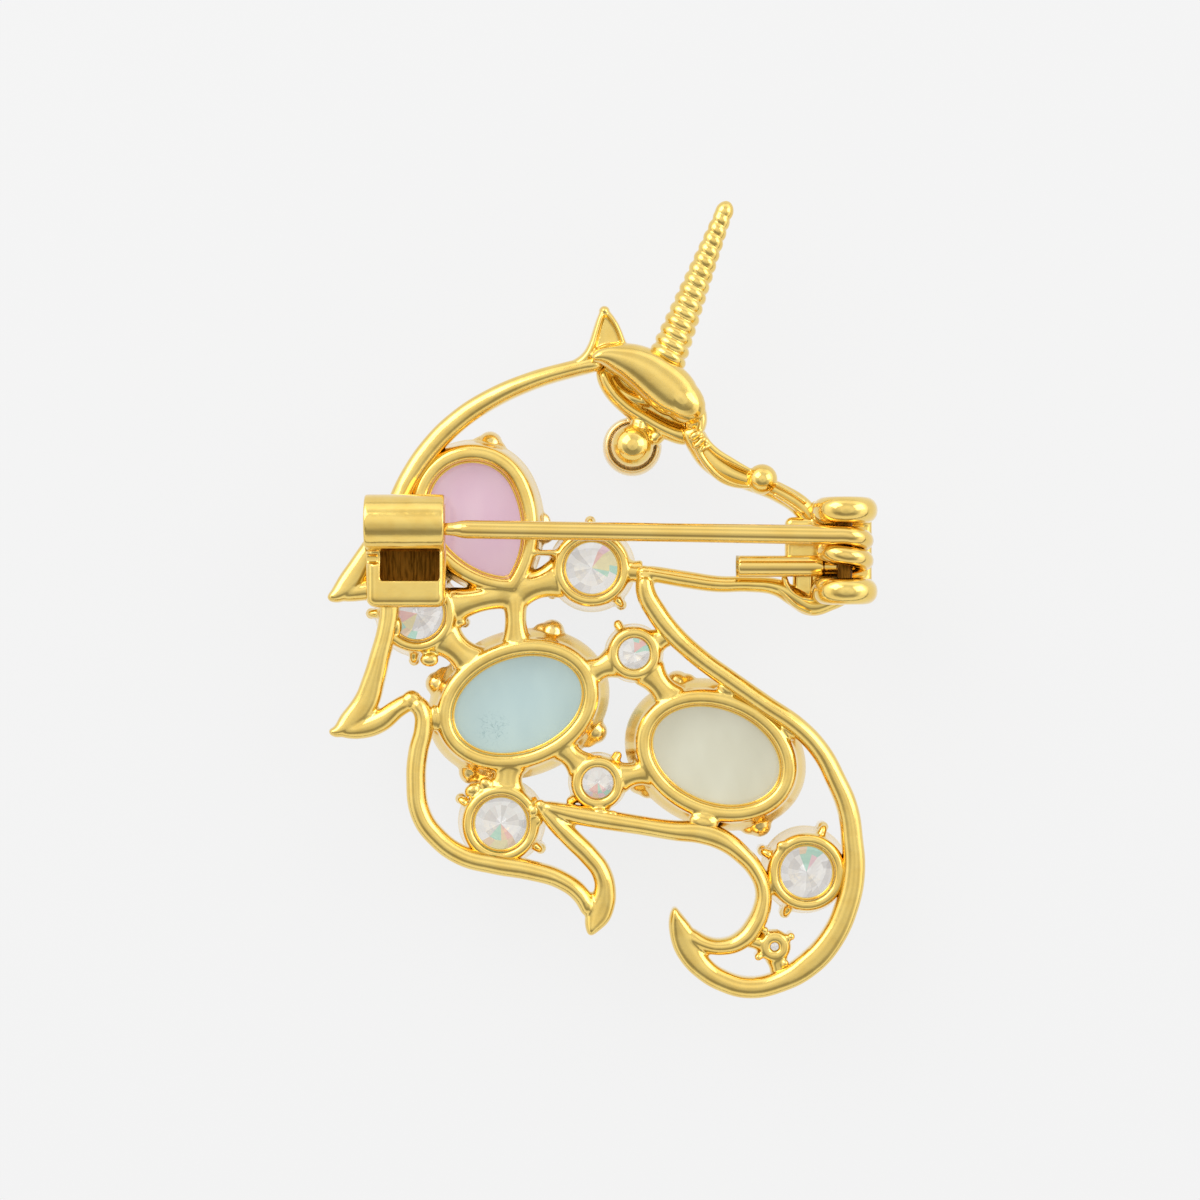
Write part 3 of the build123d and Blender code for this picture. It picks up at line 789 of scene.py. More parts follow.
# The ball at the tip is a little wider than the thread before the taper
TIP_DROP = 0.33
TIP_SIZE = (HORN_BASE + 0.2, HORN_BASE + 0.2, 1.35)

nothing_selected()
bpy.ops.mesh.primitive_circle_add(vertices=20, radius=THREAD, rotation=(math.radians(90), 0, 0))
thread = settle()
edit()
bpy.ops.transform.translate(value=(HORN_BASE / 2 + THREAD_OUT - THREAD, 0, 0))
leave_edit()
apply_modifier(
    thread,
    "SCREW",
    angle=math.radians(-360),
    axis="Z",
    screw_offset=(HORN_LENGTH - THREAD_END) / HORN_TURNS,
    iterations=HORN_TURNS,
    steps=48,
    render_steps=48,
)
edit()
bpy.ops.mesh.fill_holes(sides=0)
face_out()
leave_edit()
nothing_selected()
bpy.ops.mesh.primitive_cylinder_add(
    vertices=64, radius=HORN_BASE / 2 - CORE_INSET, depth=HORN_LENGTH, location=(0, 0, HORN_LENGTH / 2)
)
core = settle()
tip = pebble(Vector((0, 0, HORN_LENGTH - TIP_DROP)), TIP_SIZE)
horn = join([thread, core, tip])
taper = HORN_TIP / HORN_BASE - 1
apply_modifier(horn, "SIMPLE_DEFORM", deform_method="TAPER", deform_axis="Z", factor=taper)
horn.rotation_euler = (math.radians(-90), 0, math.radians(-HORN_LEAN))
horn.location = spot(0.622, 0.803, BACK - BAR_DEPTH / 2)
horn = cast("horn", [settle()], 0.055, 2, keep=0.7)

# %% [markdown]
# Each stone sits in a cup: a ring with a rounded rim at its back, and a bezel below that widens to the
# stone's edge. The ring's section is a row of points, given as growth from the stone's edge and level.
# The large stones are domes with a flat back. The small ones are cut to a point at the back, so their
# seat slopes with the stone.

# %% Cups
# Share across, share up, turn, and the angles of the claws
STONES = {
    "pear_stone": ("pear", 0.268, 0.618, 26.5, (75, 160, 228, -20)),
    "aqua_oval_stone": ("oval", 0.351, 0.369, 20, (65, 166, 235, -20)),
    "cream_oval_stone": ("oval", 0.711, 0.305, -22, (20, 118, 200, -58)),
    "clear_stone_1": ("large", 0.485, 0.540, 0, (92, 128, 213, -51)),
    "clear_stone_2": ("large", 0.168, 0.483, 0, (90, 180, 265, -11)),
    "clear_stone_3": ("large", 0.320, 0.220, 0, (150, 225, -34)),
    "clear_stone_4": ("large", 0.875, 0.159, 0, (68, 155, 244, -20)),
    "clear_stone_5": ("small", 0.562, 0.433, 0, (119, 299)),
    "clear_stone_6": ("small", 0.496, 0.271, 0, (54, 215)),
    "clear_stone_7": ("tiny", 0.817, 0.066, 0, (32, 122, 212, 302)),
}

# Ledge inside the stone's edge, width of the rim, and diameter of a claw
CUP_SIZES = {
    "oval": (1.38, 1.05, 1.6),
    "pear": (1.15, 1.10, 1.6),
    "large": (0.78, 0.76, 0.72),
    "small": (0.66, 0.80, 0.62),
    "tiny": (0.50, 0.75, 0.5),
}
DOMED = ("oval", "pear")
GAP = 0.06
WALL = 0.24

# Level of the waist under a large rim, and how far a small rim's waist is below the back at most
WAIST = 5.25
WAIST_DROP = 1.25

# A rim with its waist less than this below the back is flatter
RIM_DEPTH = 0.7

# Crown, girdle and pavilion of a cut stone, as shares of its diameter, and how far it lies below the back
CROWN = 0.15
GIRDLE = 0.04
PAVILION = 0.39
STONE_DROP = 0.35

# The rounded back of a rim: share of its width from the inside, and drop
RIM_SECTION = (
    (0.00, 0.52),
    (0.03, 0.30),
    (0.10, 0.14),
    (0.24, 0.04),
    (0.46, 0.00),
    (0.68, 0.04),
    (0.84, 0.15),
    (0.95, 0.34),
    (1.00, 0.60),
)


def stone_levels(cut):
    """The front, the girdle's front and the girdle's back of a stone."""
    if cut in DOMED:
        return 0.0, 3.4, 4.3
    diameter = 2 * SIZES[cut][1]
    girdle_back = CUP_BACK - STONE_DROP - PAVILION * diameter
    girdle_front = girdle_back - GIRDLE * diameter
    return girdle_front - CROWN * diameter, girdle_front, girdle_back


def cup_rows(cut):
    """The section of a cup, from the seat's inner edge over the rim and down the bezel."""
    ledge, rim, _ = CUP_SIZES[cut]
    _, girdle_front, girdle_back = stone_levels(cut)
    seat = girdle_back + GAP
    if cut not in DOMED:
        seat += ledge * (2 * PAVILION)
    inner = -ledge
    outer = rim - ledge
    waist = WAIST if cut in DOMED else max(girdle_back + 0.5, CUP_BACK - WAIST_DROP)
    edge = GAP + WALL
    fall = min(1.0, (CUP_BACK - waist) / RIM_DEPTH)
    back = tuple((inner + rim * across, CUP_BACK - fall * drop) for across, drop in RIM_SECTION)
    return (
        (inner, seat),
        *back,
        (outer + 0.05, waist - 0.06),
        (edge - 0.10, girdle_back - 0.1),
        (edge - 0.02, girdle_back - 0.25),
        (edge, girdle_front - 0.30),
        (GAP, girdle_front - 0.38),
        (GAP, girdle_back + GAP),
    )


gallery = []
for name, (cut, across, up, turn, _) in STONES.items():
    gallery.append(lay(stack(cut, cup_rows(cut)), spot(across, up), turn))
print("cups", len(gallery))

# %% [markdown]
# Just inside the rim of each larger cup runs a thin raised line, as a milling wheel leaves it. It is the
# same stack again, with a small circle for its section.

# %% Beads inside the rims
BEAD = 0.07
BEAD_DROP = 0.52
beads = []
for name, (cut, across, up, turn, _) in STONES.items():
    if cut in ("oval", "pear", "large"):
        ledge = CUP_SIZES[cut][0]
        section = [math.radians(45 * step) for step in range(8)]
        rows = [
            (-ledge - 0.05 + BEAD * math.cos(angle), CUP_BACK - BEAD_DROP + BEAD * math.sin(angle))
            for angle in section
        ]
        beads.append(lay(stack(cut, rows), spot(across, up), turn))
beads = finish(join(beads), "rim_beads")
print("beads", len(beads.data.polygons), "faces")

# %% [markdown]
# Claws are short posts with domed ends, at the stone's edge. From the back one sees their feet. On a
# large stone the foot stands on a broad shoulder, on a small one a short arm holds it to the cup. Both are
# flattened balls that the casting's skin draws together with the claw.

# %% Claws
CLAW_TIP = 1.2

# How far a claw stands past the stone's edge, and how far its foot rises above the girdle
BROAD_CLAW = (0.15, 0.35)
SMALL_CLAW = (0.46, 1.0)

# Length, width and height; how far below its level and how far inside the claw its middle lies
SHOULDER = (1.6, 2.4, 0.9)
SHOULDER_DROP = 0.3
SHOULDER_IN = 0.3
ARM = (1.2, 0.62, 1.0)
ARM_DROP = 0.95
ARM_IN = 0.35


def reach(cut, angle, grow=0.0):
    """How far an outline is from the stone's centre in one direction, in the stone's own frame."""
    half_length = SIZES[cut][0] + grow
    half_width = SIZES[cut][1] + grow
    sideways = abs(math.cos(math.radians(angle)))
    upwards = math.sin(math.radians(angle))
    if cut == "oval":
        return 1 / math.hypot(sideways / half_length, upwards / half_width)
    if cut == "pear" and upwards < 0:
        side = pear_side(half_width, half_length)
        shift = half_width - side
        return shift * sideways + math.sqrt((shift * sideways) ** 2 - shift**2 + side**2)
    return half_width


def round_from(place, angle, distance):
    """The place at a distance from another, in a direction in degrees."""
    heading = math.radians(angle)
    return place + distance * Vector((math.cos(heading), math.sin(heading), 0))


for name, (cut, across, up, turn, angles) in STONES.items():
    radius = CUP_SIZES[cut][2] / 2
    _, girdle_front, girdle_back = stone_levels(cut)
    broad = cut in DOMED
    past, rise = BROAD_CLAW if broad else SMALL_CLAW
    for angle in angles:
        distance = reach(cut, angle - turn, past)
        place = round_from(spot(across, up), angle, distance)
        gallery.append(post(place, radius, girdle_front - CLAW_TIP, girdle_back + rise))
        if broad:
            middle = spot(across, up, girdle_back - SHOULDER_DROP)
            gallery.append(pebble(round_from(middle, angle, distance - SHOULDER_IN), SHOULDER, angle))
        else:
            middle = spot(across, up, CUP_BACK - ARM_DROP)
            gallery.append(pebble(round_from(middle, angle, distance - ARM_IN), ARM, angle))
print("cups and claws", len(gallery))

# %% [markdown]
# Links join cup to cup, and cups to the outline. Solder and wax leave no sharp corner there, so each
# link widens towards both ends, but less where it runs into a slender bar of the outline.

# %% Links
LINK_BACK = 5.78
LINK_DEPTH = 1.5
LINK_WIDTH = 1.1
AT_OUTLINE = 0.7

# Share of the way along a link, and share of its width there
FLARE = ((0.0, 1.55), (0.22, 1.12), (0.5, 0.92), (0.78, 1.12), (1.0, 1.55))

# Where each link starts and ends, and its share of the usual width
LINKS = (
    ("pear_point", "aqua_oval_stone", 1.0),
    ("pear_point", "clear_stone_1", 1.35),
    ((0.366, 0.559), (0.428, 0.559), 0.3),
    ("pear_point", "clear_stone_2", 1.2),
    ("aqua_oval_stone", "clear_stone_2", 1.35),
    ("aqua_oval_stone", "clear_stone_5", 1.1),
    ("aqua_oval_stone", "clear_stone_6", 1.1),
    ("aqua_oval_stone", "clear_stone_3", 1.35),
    ("cream_oval_stone", "clear_stone_5", 1.2),
    ("cream_oval_stone", "clear_stone_6", 1.1),
    ("cream_oval_stone", CURL[5], 1.2),
    ("cream_oval_stone", NECK[6], 1.0),
    ("clear_stone_1", JAW[0], 1.0),
    ("clear_stone_2", SECOND_LOCK[1], 0.9),
    ("clear_stone_3", FOURTH_LOCK[0], 0.9),
    ("clear_stone_3", THIRD_LOCK[8], 0.9),
    ("clear_stone_4", CURL[9], 1.0),
    ("clear_stone_4", NECK[12], 1.1),
    ("clear_stone_5", NECK[3], 1.0),
    ("clear_stone_6", CURL[2], 1.0),
    ("clear_stone_7", CURL[12], 0.7),
    ("clear_stone_7", NECK[16], 0.8),
)


def link_place(end):
    """The middle of a cup, the point of the pear's cup, or a place on the outline."""
    if end == "pear_point":
        cut, across, up, turn, _ = STONES["pear_stone"]
        return round_from(spot(across, up), turn - 90, SIZES[cut][0] - 0.25)
    if isinstance(end, str):
        return spot(*STONES[end][1:3])
    return spot(*end[:2])


def link_foot(end, other):
    """Where a link leaves its cup's rim on the way to the other end."""
    place = link_place(end)
    if not isinstance(end, str) or end == "pear_point":
        return place
    cut, _, _, turn, _ = STONES[end]
    ledge, rim, _ = CUP_SIZES[cut]
    way = link_place(other) - place
    angle = math.degrees(math.atan2(way.y, way.x))
    return round_from(place, angle, reach(cut, angle - turn, 0.55 * rim - ledge))


for start, stop, share in LINKS:
    foot = link_foot(start, stop)
    far_foot = link_foot(stop, start)
    level = Vector((0, 0, LINK_BACK - LINK_DEPTH / 2))
    points = [foot.lerp(far_foot, along) + level for along, _ in FLARE]
    widths = [LINK_WIDTH * share * flare for _, flare in FLARE]
    if not isinstance(stop, str):
        widths[-1] *= AT_OUTLINE
    gallery.append(strand(points, widths, LINK_DEPTH, rounding=2, **OVAL))
print("cups, claws and links", len(gallery))

# %% [markdown]
# Handwork leaves small lumps of solder, where a link meets the outline and where two cups nearly touch.
# With them the gallery is complete and is cast in one skin. It is the piece with the most triangles, so
# it keeps a smaller share of them.

# %% Solder
# Share across, share up, level, and the lump's three sizes and turn
LUMPS = (
    (0.268, 0.262, 5.35, 1.1, 0.8, 0.9, 30),
    (0.292, 0.270, 5.45, 0.9, 0.8, 0.8, -20),
    (0.380, 0.236, 5.75, 0.9, 0.7, 0.7, 60),
    (0.388, 0.224, 5.50, 0.8, 0.6, 0.8, 100),
    (0.500, 0.234, 5.85, 1.1, 0.6, 0.6, -6),
    (0.523, 0.231, 5.80, 0.8, 0.6, 0.6, -6),
    (0.688, 0.222, 5.65, 1.9, 1.2, 0.9, -10),
    (0.128, 0.470, 5.55, 0.9, 1.5, 0.9, 10),
    (0.190, 0.425, 5.45, 1.2, 0.9, 0.8, 0),
    (0.832, 0.192, 5.60, 0.9, 0.7, 0.7, 0),
    (0.836, 0.066, 5.55, 0.7, 0.5, 0.6, 20),
    (0.199, 0.352, 5.40, 0.8, 1.7, 1.0, 5),
    (0.730, 0.388, 5.40, 1.4, 0.8, 1.0, -35),
    (0.845, 0.336, 5.40, 1.5, 0.8, 1.0, -38),
)
gallery += [
    pebble(spot(across, up, level), (long, wide, high), turn)
    for across, up, level, long, wide, high, turn in LUMPS
]
print("lumps of solder", len(LUMPS))
gallery = cast("gallery", gallery, 0.09, 5, keep=0.41)

# %% [markdown]
# The hinge is a seat with two thick round lugs. Each lug is a cylinder with a generous bevel, standing on
# a block of its own width, and the jaw and the nose run into the seat.

# %% Hinge
HINGE = spot(0.940, 0.561)
HINGE_LEVEL = 7.79
LUG_OUT = 2.51
LUG_RADIUS = 2.02
LUG_WIDTH = 1.66
LUG_ROUNDING = 0.78


def block(low, high, rounding):
    """A box between two corners with rounded edges."""
    nothing_selected()
    bpy.ops.mesh.primitive_cube_add(size=1)
    box = bpy.context.object
    box.scale = tuple(to - start for start, to in zip(low, high))
    box.location = tuple((to + start) / 2 for start, to in zip(low, high))
    return apply_modifier(settle(), "BEVEL", width=rounding, segments=5, limit_method="ANGLE")


hinge = [
    block((HINGE.x - 2.0, -0.15, 4.4), (HINGE.x + 1.85, 6.25, 5.9), 0.4),
    block((HINGE.x - 3.6, 1.9, 4.4), (HINGE.x - 1.0, 5.2, 5.9), 0.45),
    block((HINGE.x - 3.1, 0.1, 4.4), (HINGE.x - 1.0, 2.6, 5.6), 0.4),
]
for side in (1, -1):
    middle = HINGE.y + side * LUG_OUT
    nothing_selected()
    bpy.ops.mesh.primitive_cylinder_add(
        vertices=64,
        radius=LUG_RADIUS,
        depth=LUG_WIDTH,
        location=(HINGE.x, middle, HINGE_LEVEL),
        rotation=(math.radians(90), 0, 0),
    )
    hinge.append(
        apply_modifier(settle(), "BEVEL", width=LUG_ROUNDING, segments=8, limit_method="ANGLE")
    )
    low = (HINGE.x - 2.0, middle - LUG_WIDTH / 2, 5.2)
    high = (HINGE.x + 2.0, middle + LUG_WIDTH / 2, HINGE_LEVEL)
    hinge.append(block(low, high, LUG_ROUNDING))
print("parts of the hinge", len(hinge))
hinge = cast("hinge_lugs", hinge, 0.08, 4, keep=0.5)

# %% [markdown]
# The catch is a strip of sheet that stands up from its base and rolls over the pin: an edge as long as the
# catch is drawn up and spun round the roll's centre, and Solidify gives it the thickness of the sheet. In
# front of the roll stands a lower block. A Boolean cuts a window and a notch into it, and the window's
# floor is a small plate of its own in dark brass: painted shade for the shadow in the well.

# %% Catch
CATCH = spot(0.151, 0.5606)
CATCH_HALF = 2.475
CATCH_WALL = 3.5
SHEET = 0.58
SHEET_ROUNDING = 0.27
ROLL = 1.775
ROLL_LEVEL = 8.61
ROLL_ANGLE = 195
CATCH_FOOT = 5.8
STRIP_FOOT = CATCH_FOOT + 0.05

nothing_selected()
bpy.ops.mesh.primitive_plane_add(size=2 * CATCH_HALF)
strip = bpy.context.object
edit()
pick(lambda co: co.y < 0)
bpy.ops.mesh.delete(type="VERT")
pick_all()
bpy.ops.transform.translate(value=(CATCH.x, CATCH.y + CATCH_WALL - CATCH_HALF, STRIP_FOOT))
bpy.ops.mesh.extrude_region_move(TRANSFORM_OT_translate={"value": (0, 0, ROLL_LEVEL - STRIP_FOOT)})
bpy.ops.mesh.spin(
    steps=40,
    angle=-math.radians(ROLL_ANGLE),
    center=(CATCH.x, CATCH.y + CATCH_WALL - ROLL, ROLL_LEVEL),
    axis=(1, 0, 0),
)
pick_all()
bpy.ops.mesh.remove_doubles(threshold=0.001)
face_out()
leave_edit()
print("top of the strip", max(v.co.z for v in strip.data.vertices), "mm")
apply_modifier(strip, "SOLIDIFY", thickness=SHEET, offset=-1, use_even_offset=True)
sharp = math.radians(60)
apply_modifier(strip, "BEVEL", width=SHEET_ROUNDING, segments=5, limit_method="ANGLE", angle_limit=sharp)
left = CATCH.x - CATCH_HALF
right = CATCH.x + CATCH_HALF
low = CATCH.y - CATCH_WALL
top = CATCH_FOOT + 2.3
body = block((left, low, CATCH_FOOT), (right, low + 4.0, top), 0.6)
hollow = block((left + 0.92, low + 1.68, CATCH_FOOT + 0.75), (right - 0.4, low + 4.6, top + 1), 0.08)
notch = block((left - 0.6, low + 2.72, CATCH_FOOT + 1.5), (left + 0.8, low + 3.3, top + 1), 0.1)
for cutter in (hollow, notch):
    apply_modifier(body, "BOOLEAN", operation="DIFFERENCE", object=cutter, solver="EXACT")
    bpy.data.objects.remove(cutter)
base = block(
    (left + 0.08, low + 0.08, CATCH_FOOT), (right - 0.08, CATCH.y + CATCH_WALL, CATCH_FOOT + 0.8), 0.38
)
catch = cast("catch", [strip, base, body], 0.075, 4, keep=0.5)
# The window's floor: a thin plate in dark brass, painted shade where the well lies in shadow
shade_plate = block((left + 0.8, low + 1.5, CATCH_FOOT + 0.7), (right - 0.3, low + 4.6, CATCH_FOOT + 0.9), 0.05)
finish(shade_plate, "catch_floor_painted_shade")
print("floor of the catch", len(shade_plate.data.polygons), "faces")

# %% [markdown]
# The pin is drawn wire: a curve with a round bevel, whose radius at each knot gives the point, the
# shoulder and the stem. It winds one and a half turns round the rivet and ends in the tail, whose end is
# sunk in a little, as the end of a sleeve.

# %% Pin
PIN_LEVEL = 8.96
COIL_RADIUS = 1.17
COIL_HALF = 0.9375
PITCH = 1.25


def wire(points, radii):
    """A round wire through the points, with a radius at each."""
    curve = path_through(points)
    for knot, radius in zip(curve.data.splines[0].bezier_points, radii):
        knot.radius = radius
    curve.data.bevel_depth = 1.0
    curve.data.bevel_resolution = 10
    curve.data.use_fill_caps = True
    curve.data.resolution_u = 10
    take(curve)
    bpy.ops.object.convert(target="MESH")
    made = bpy.context.object
    edit()
    bpy.ops.mesh.remove_doubles(threshold=0.0005)
    face_out()
    leave_edit()
    return made


stem_start = Vector((HINGE.x, HINGE.y + COIL_HALF, PIN_LEVEL))
stem_entry = Vector((CATCH.x + CATCH_HALF, CATCH.y + CATCH_WALL - ROLL - 0.38, PIN_LEVEL))
along_pin = (stem_entry - stem_start).normalized()

# Distance from the coil and radius of the wire: first the drawn point, its shoulder, then the stem
STEM_ROWS = (
    (28.48, 0.10),
    (28.2, 0.17),
    (27.0, 0.26),
    (24.75, 0.375),
    (24.2, 0.42),
    (23.7, 0.545),
    (23.4, 0.575),
    (16.0, 0.578),
    (8.0, 0.588),
    (3.0, 0.60),
    (0.9, 0.60),
)

# Distance behind the rivet and radius: the coil's end, then the tail with its thicker sleeve
TAIL_ROWS = ((0.6, 0.60), (1.2, 0.61), (1.35, 0.67), (4.0, 0.67), (6.7, 0.67))
TAIL_END = HINGE.x - TAIL_ROWS[-1][0]
COIL_WIRE = 0.60
STEP_ANGLE = 15
STEPS_A_TURN = 24
COIL_TURNS = 1.5

points = [stem_start + distance * along_pin for distance, _ in STEM_ROWS]
radii = [radius for _, radius in STEM_ROWS]
for step in range(int(COIL_TURNS * STEPS_A_TURN) + 1):
    turn = math.radians(STEP_ANGLE * step)
    across = COIL_RADIUS * math.sin(turn)
    sideways = COIL_HALF - PITCH * step / STEPS_A_TURN
    upwards = COIL_RADIUS * math.cos(turn)
    points.append(Vector((HINGE.x + across, HINGE.y + sideways, HINGE_LEVEL + upwards)))
    radii.append(COIL_WIRE)
for back_from, radius in TAIL_ROWS:
    points.append(Vector((HINGE.x - back_from, HINGE.y - COIL_HALF, HINGE_LEVEL - COIL_RADIUS)))
    radii.append(radius)
pin = wire(points, radii)
take(pin)
edit()
pick_faces(lambda middle, normal: normal.x < -0.9 and abs(middle.x - TAIL_END) < 0.01)
bpy.ops.mesh.inset(thickness=0.24)
bpy.ops.transform.translate(value=(0.5, 0, 0))
leave_edit()
finish(pin, "pin")
print("pin", len(pin.data.polygons), "faces")

# %% [markdown]
# The large stones are smooth domes with a flat back. A stack of rings makes them too: a few rings round
# off the edge of the back, and the dome's rings follow a quarter circle to the front.

# %% Large stones
BACK_EDGE = ((-0.30, 4.3), (-0.10, 4.28), (-0.02, 4.2), (0.0, 4.05), (0.0, 3.5))
DOME = 3.5
POLE_SHARE = 0.98
large_stones = {}
for name in ("pear_stone", "aqua_oval_stone", "cream_oval_stone"):
    cut, across, up, turn, _ = STONES[name]
    half = SIZES[cut][1]
    rows = list(BACK_EDGE)
    for angle in range(10, 90, 10):
        shrink = 1 - math.cos(math.radians(angle))
        rows.append((-half * shrink * POLE_SHARE, DOME - DOME * math.sin(math.radians(angle))))
    stone = lay(stack(cut, rows, end="point"), spot(across, up), turn)
    large_stones[name] = finish(stone, name + "_cut")
print("large stones", len(large_stones))

# %% [markdown]
# The clear stones are cut: rings of vertices stand for the corners of the facets, and a convex hull draws
# the facets.
#
# A cut stone throws back the room in small wedges, some of them pink, yellow or green. These are painted:
# each facet gets its own painted reflection tint in a colour attribute, drawn with a fixed seed. The
# painted colour flashes lie together on one side of a stone, where the light comes in.

# %% Clear stones
PAINTED_REFLECTION_TINTS = ("FBFAF8", "F1EFEC", "E4E1DE", "D3CFCC", "F6F3EE")
PAINTED_FLASH_TINTS = ("F0A8A0", "F3C79A", "EEDD96", "9AD8BC", "F2B9C6")

# The middle of the painted colour flashes and half their spread, in degrees
PAINTED_FLASHES = {
    "clear_stone_1": (20, 42),
    "clear_stone_2": (215, 40),
    "clear_stone_3": (268, 40),
    "clear_stone_4": (75, 30),
    "clear_stone_5": (55, 45),
    "clear_stone_6": (275, 50),
    "clear_stone_7": (0, 0),
}


def colour(text):
    """A colour written as six sRGB hex digits, as the linear values that a node takes."""
    shades = [int(text[index : index + 2], 16) / 255 for index in (0, 2, 4)]
    linear = [c / 12.92 if c <= 0.04045 else ((c + 0.055) / 1.055) ** 2.4 for c in shades]
    return (*linear, 1.0)


def brilliant(cut, sides):
    """A cut stone at the origin: table, crown, girdle and pavilion, as the hull of rings."""
    radius = SIZES[cut][1]
    front, girdle_front, girdle_back = stone_levels(cut)
    culet = girdle_back + PAVILION * 2 * radius
    crown = (front + girdle_front) / 2 - 0.03 * radius

    # Corners, share of the radius, level, and share of a corner by which the ring is turned
    rings = (
        (sides // 2, 0.58, front, 0.5),
        (sides, 0.84, crown, 0.0),
        (sides, 1.00, girdle_front, 0.5),
        (sides, 1.00, girdle_back, 0.5),
        (sides, 0.45, girdle_back + 0.60 * (culet - girdle_back), 0.0),
        (sides // 2, 0.02, culet - 0.02, 0.5),
    )
    nothing_selected()
    bpy.ops.mesh.primitive_circle_add(vertices=sides, radius=0.3 * radius, location=(0, 0, girdle_front))
    stone = settle()
    edit()
    for count, share, level, turned in rings:
        bpy.ops.mesh.primitive_circle_add(
            vertices=count,
            radius=share * radius,
            location=(0, 0, level),
            rotation=(0, 0, 2 * math.pi * turned / count),
        )
    pick_all()
    bpy.ops.mesh.convex_hull()
    face_out()
    leave_edit()
    return stone


def paint_facet_reflections(stone, middle, spread):
    """Paints every facet its own reflection tint; those round the light's direction get colour flashes."""
    tints = stone.data.color_attributes.new("painted facet reflections", "FLOAT_COLOR", "CORNER")
    for facet in stone.data.polygons:
        heading = math.degrees(math.atan2(facet.center.y, facet.center.x))
        away = abs((heading - middle + 180) % 360 - 180)
        coloured = away < spread and facet.normal.z > 0.2
        tint = colour(random.choice(PAINTED_FLASH_TINTS if coloured else PAINTED_REFLECTION_TINTS))
        for corner in facet.loop_indices:
            tints.data[corner].color = tint


SIDES = {"large": 18, "small": 14, "tiny": 10}
random.seed(7)
clear_stones = {}
for name, (cut, across, up, turn, _) in STONES.items():
    if name.startswith("clear"):
        stone = brilliant(cut, SIDES[cut])
        paint_facet_reflections(stone, *PAINTED_FLASHES[name])
        clear_stones[name] = finish(lay(stone, spot(across, up)), name + "_cut")
        bpy.ops.object.shade_flat()
print("clear stones", len(clear_stones))

# %% [markdown]
# Finishes. Gold plating takes nearly all its colour from what it mirrors, so the base colour is the
# tint of its reflections. Cast metal is polished on a wheel, which leaves it slightly uneven over a
# millimetre or so. A thin clear lacquer over it adds small white glints.
#
# A few small functions come first. One adds a node with its settings and links, one sets the stops of a
# Color Ramp, one starts a material with constants on its shader, and one gives a piece its finish.

# %% Helpers for materials
def add_node(tree, kind, feeds=(), **settings):
    """Adds a node with its settings; each feed is a socket and a value, or an output to link to it."""
    node = tree.nodes.new(kind)
    for key, value in settings.items():
        setattr(node, key, value)
    for socket, feed in dict(feeds).items():
        if isinstance(feed, bpy.types.NodeSocket):
            tree.links.new(feed, node.inputs[socket])
        else:
            node.inputs[socket].default_value = feed
    return node


def set_stops(ramp, stops):
    """Gives a Color Ramp its stops, each a position and a colour."""
    elements = ramp.color_ramp.elements
    while len(elements) > 1:
        elements.remove(elements[0])
    elements[0].position, elements[0].color = stops[0]
    for position, tint in stops[1:]:
        elements.new(position).color = tint


def finish_of(name, **settings):
    """A new material with the settings of its Principled BSDF."""
    material = bpy.data.materials.new(name)
    material.use_nodes = True
    shader = material.node_tree.nodes["Principled BSDF"]
    for key, value in settings.items():
        shader.inputs[key.replace("_", " ")].default_value = value
    return material


def dress(obj, material):
    """Gives a piece one finish."""
    obj.data.materials.clear()
    obj.data.materials.append(material)


print("helpers for materials are ready")

# %% [markdown]
# All the gilt metal is one recipe with different numbers. A noise a millimetre wide drives three things
# together, as the polishing wheel does: the tint, the roughness and a very low relief. The wheel reaches
# the back only. Deep between the cups, and towards the front, the polish fades to a rougher satin, and the
# colour there is painted pale, as painted light, so that the openings look soft and not black.

# %% Gold finishes
# In millimetres: all satin and painted pale light below the first level, all polished above the second
SATIN_AND_PAINTED_LIGHT_BELOW = 3.8
POLISHED_ABOVE = 4.75
SATIN_AND_PAINTED_LIGHT_SHARE = 0.75
SATIN_AND_PAINTED_LIGHT_TINT = "F8E9CC"
SATIN_ROUGHNESS = 0.3


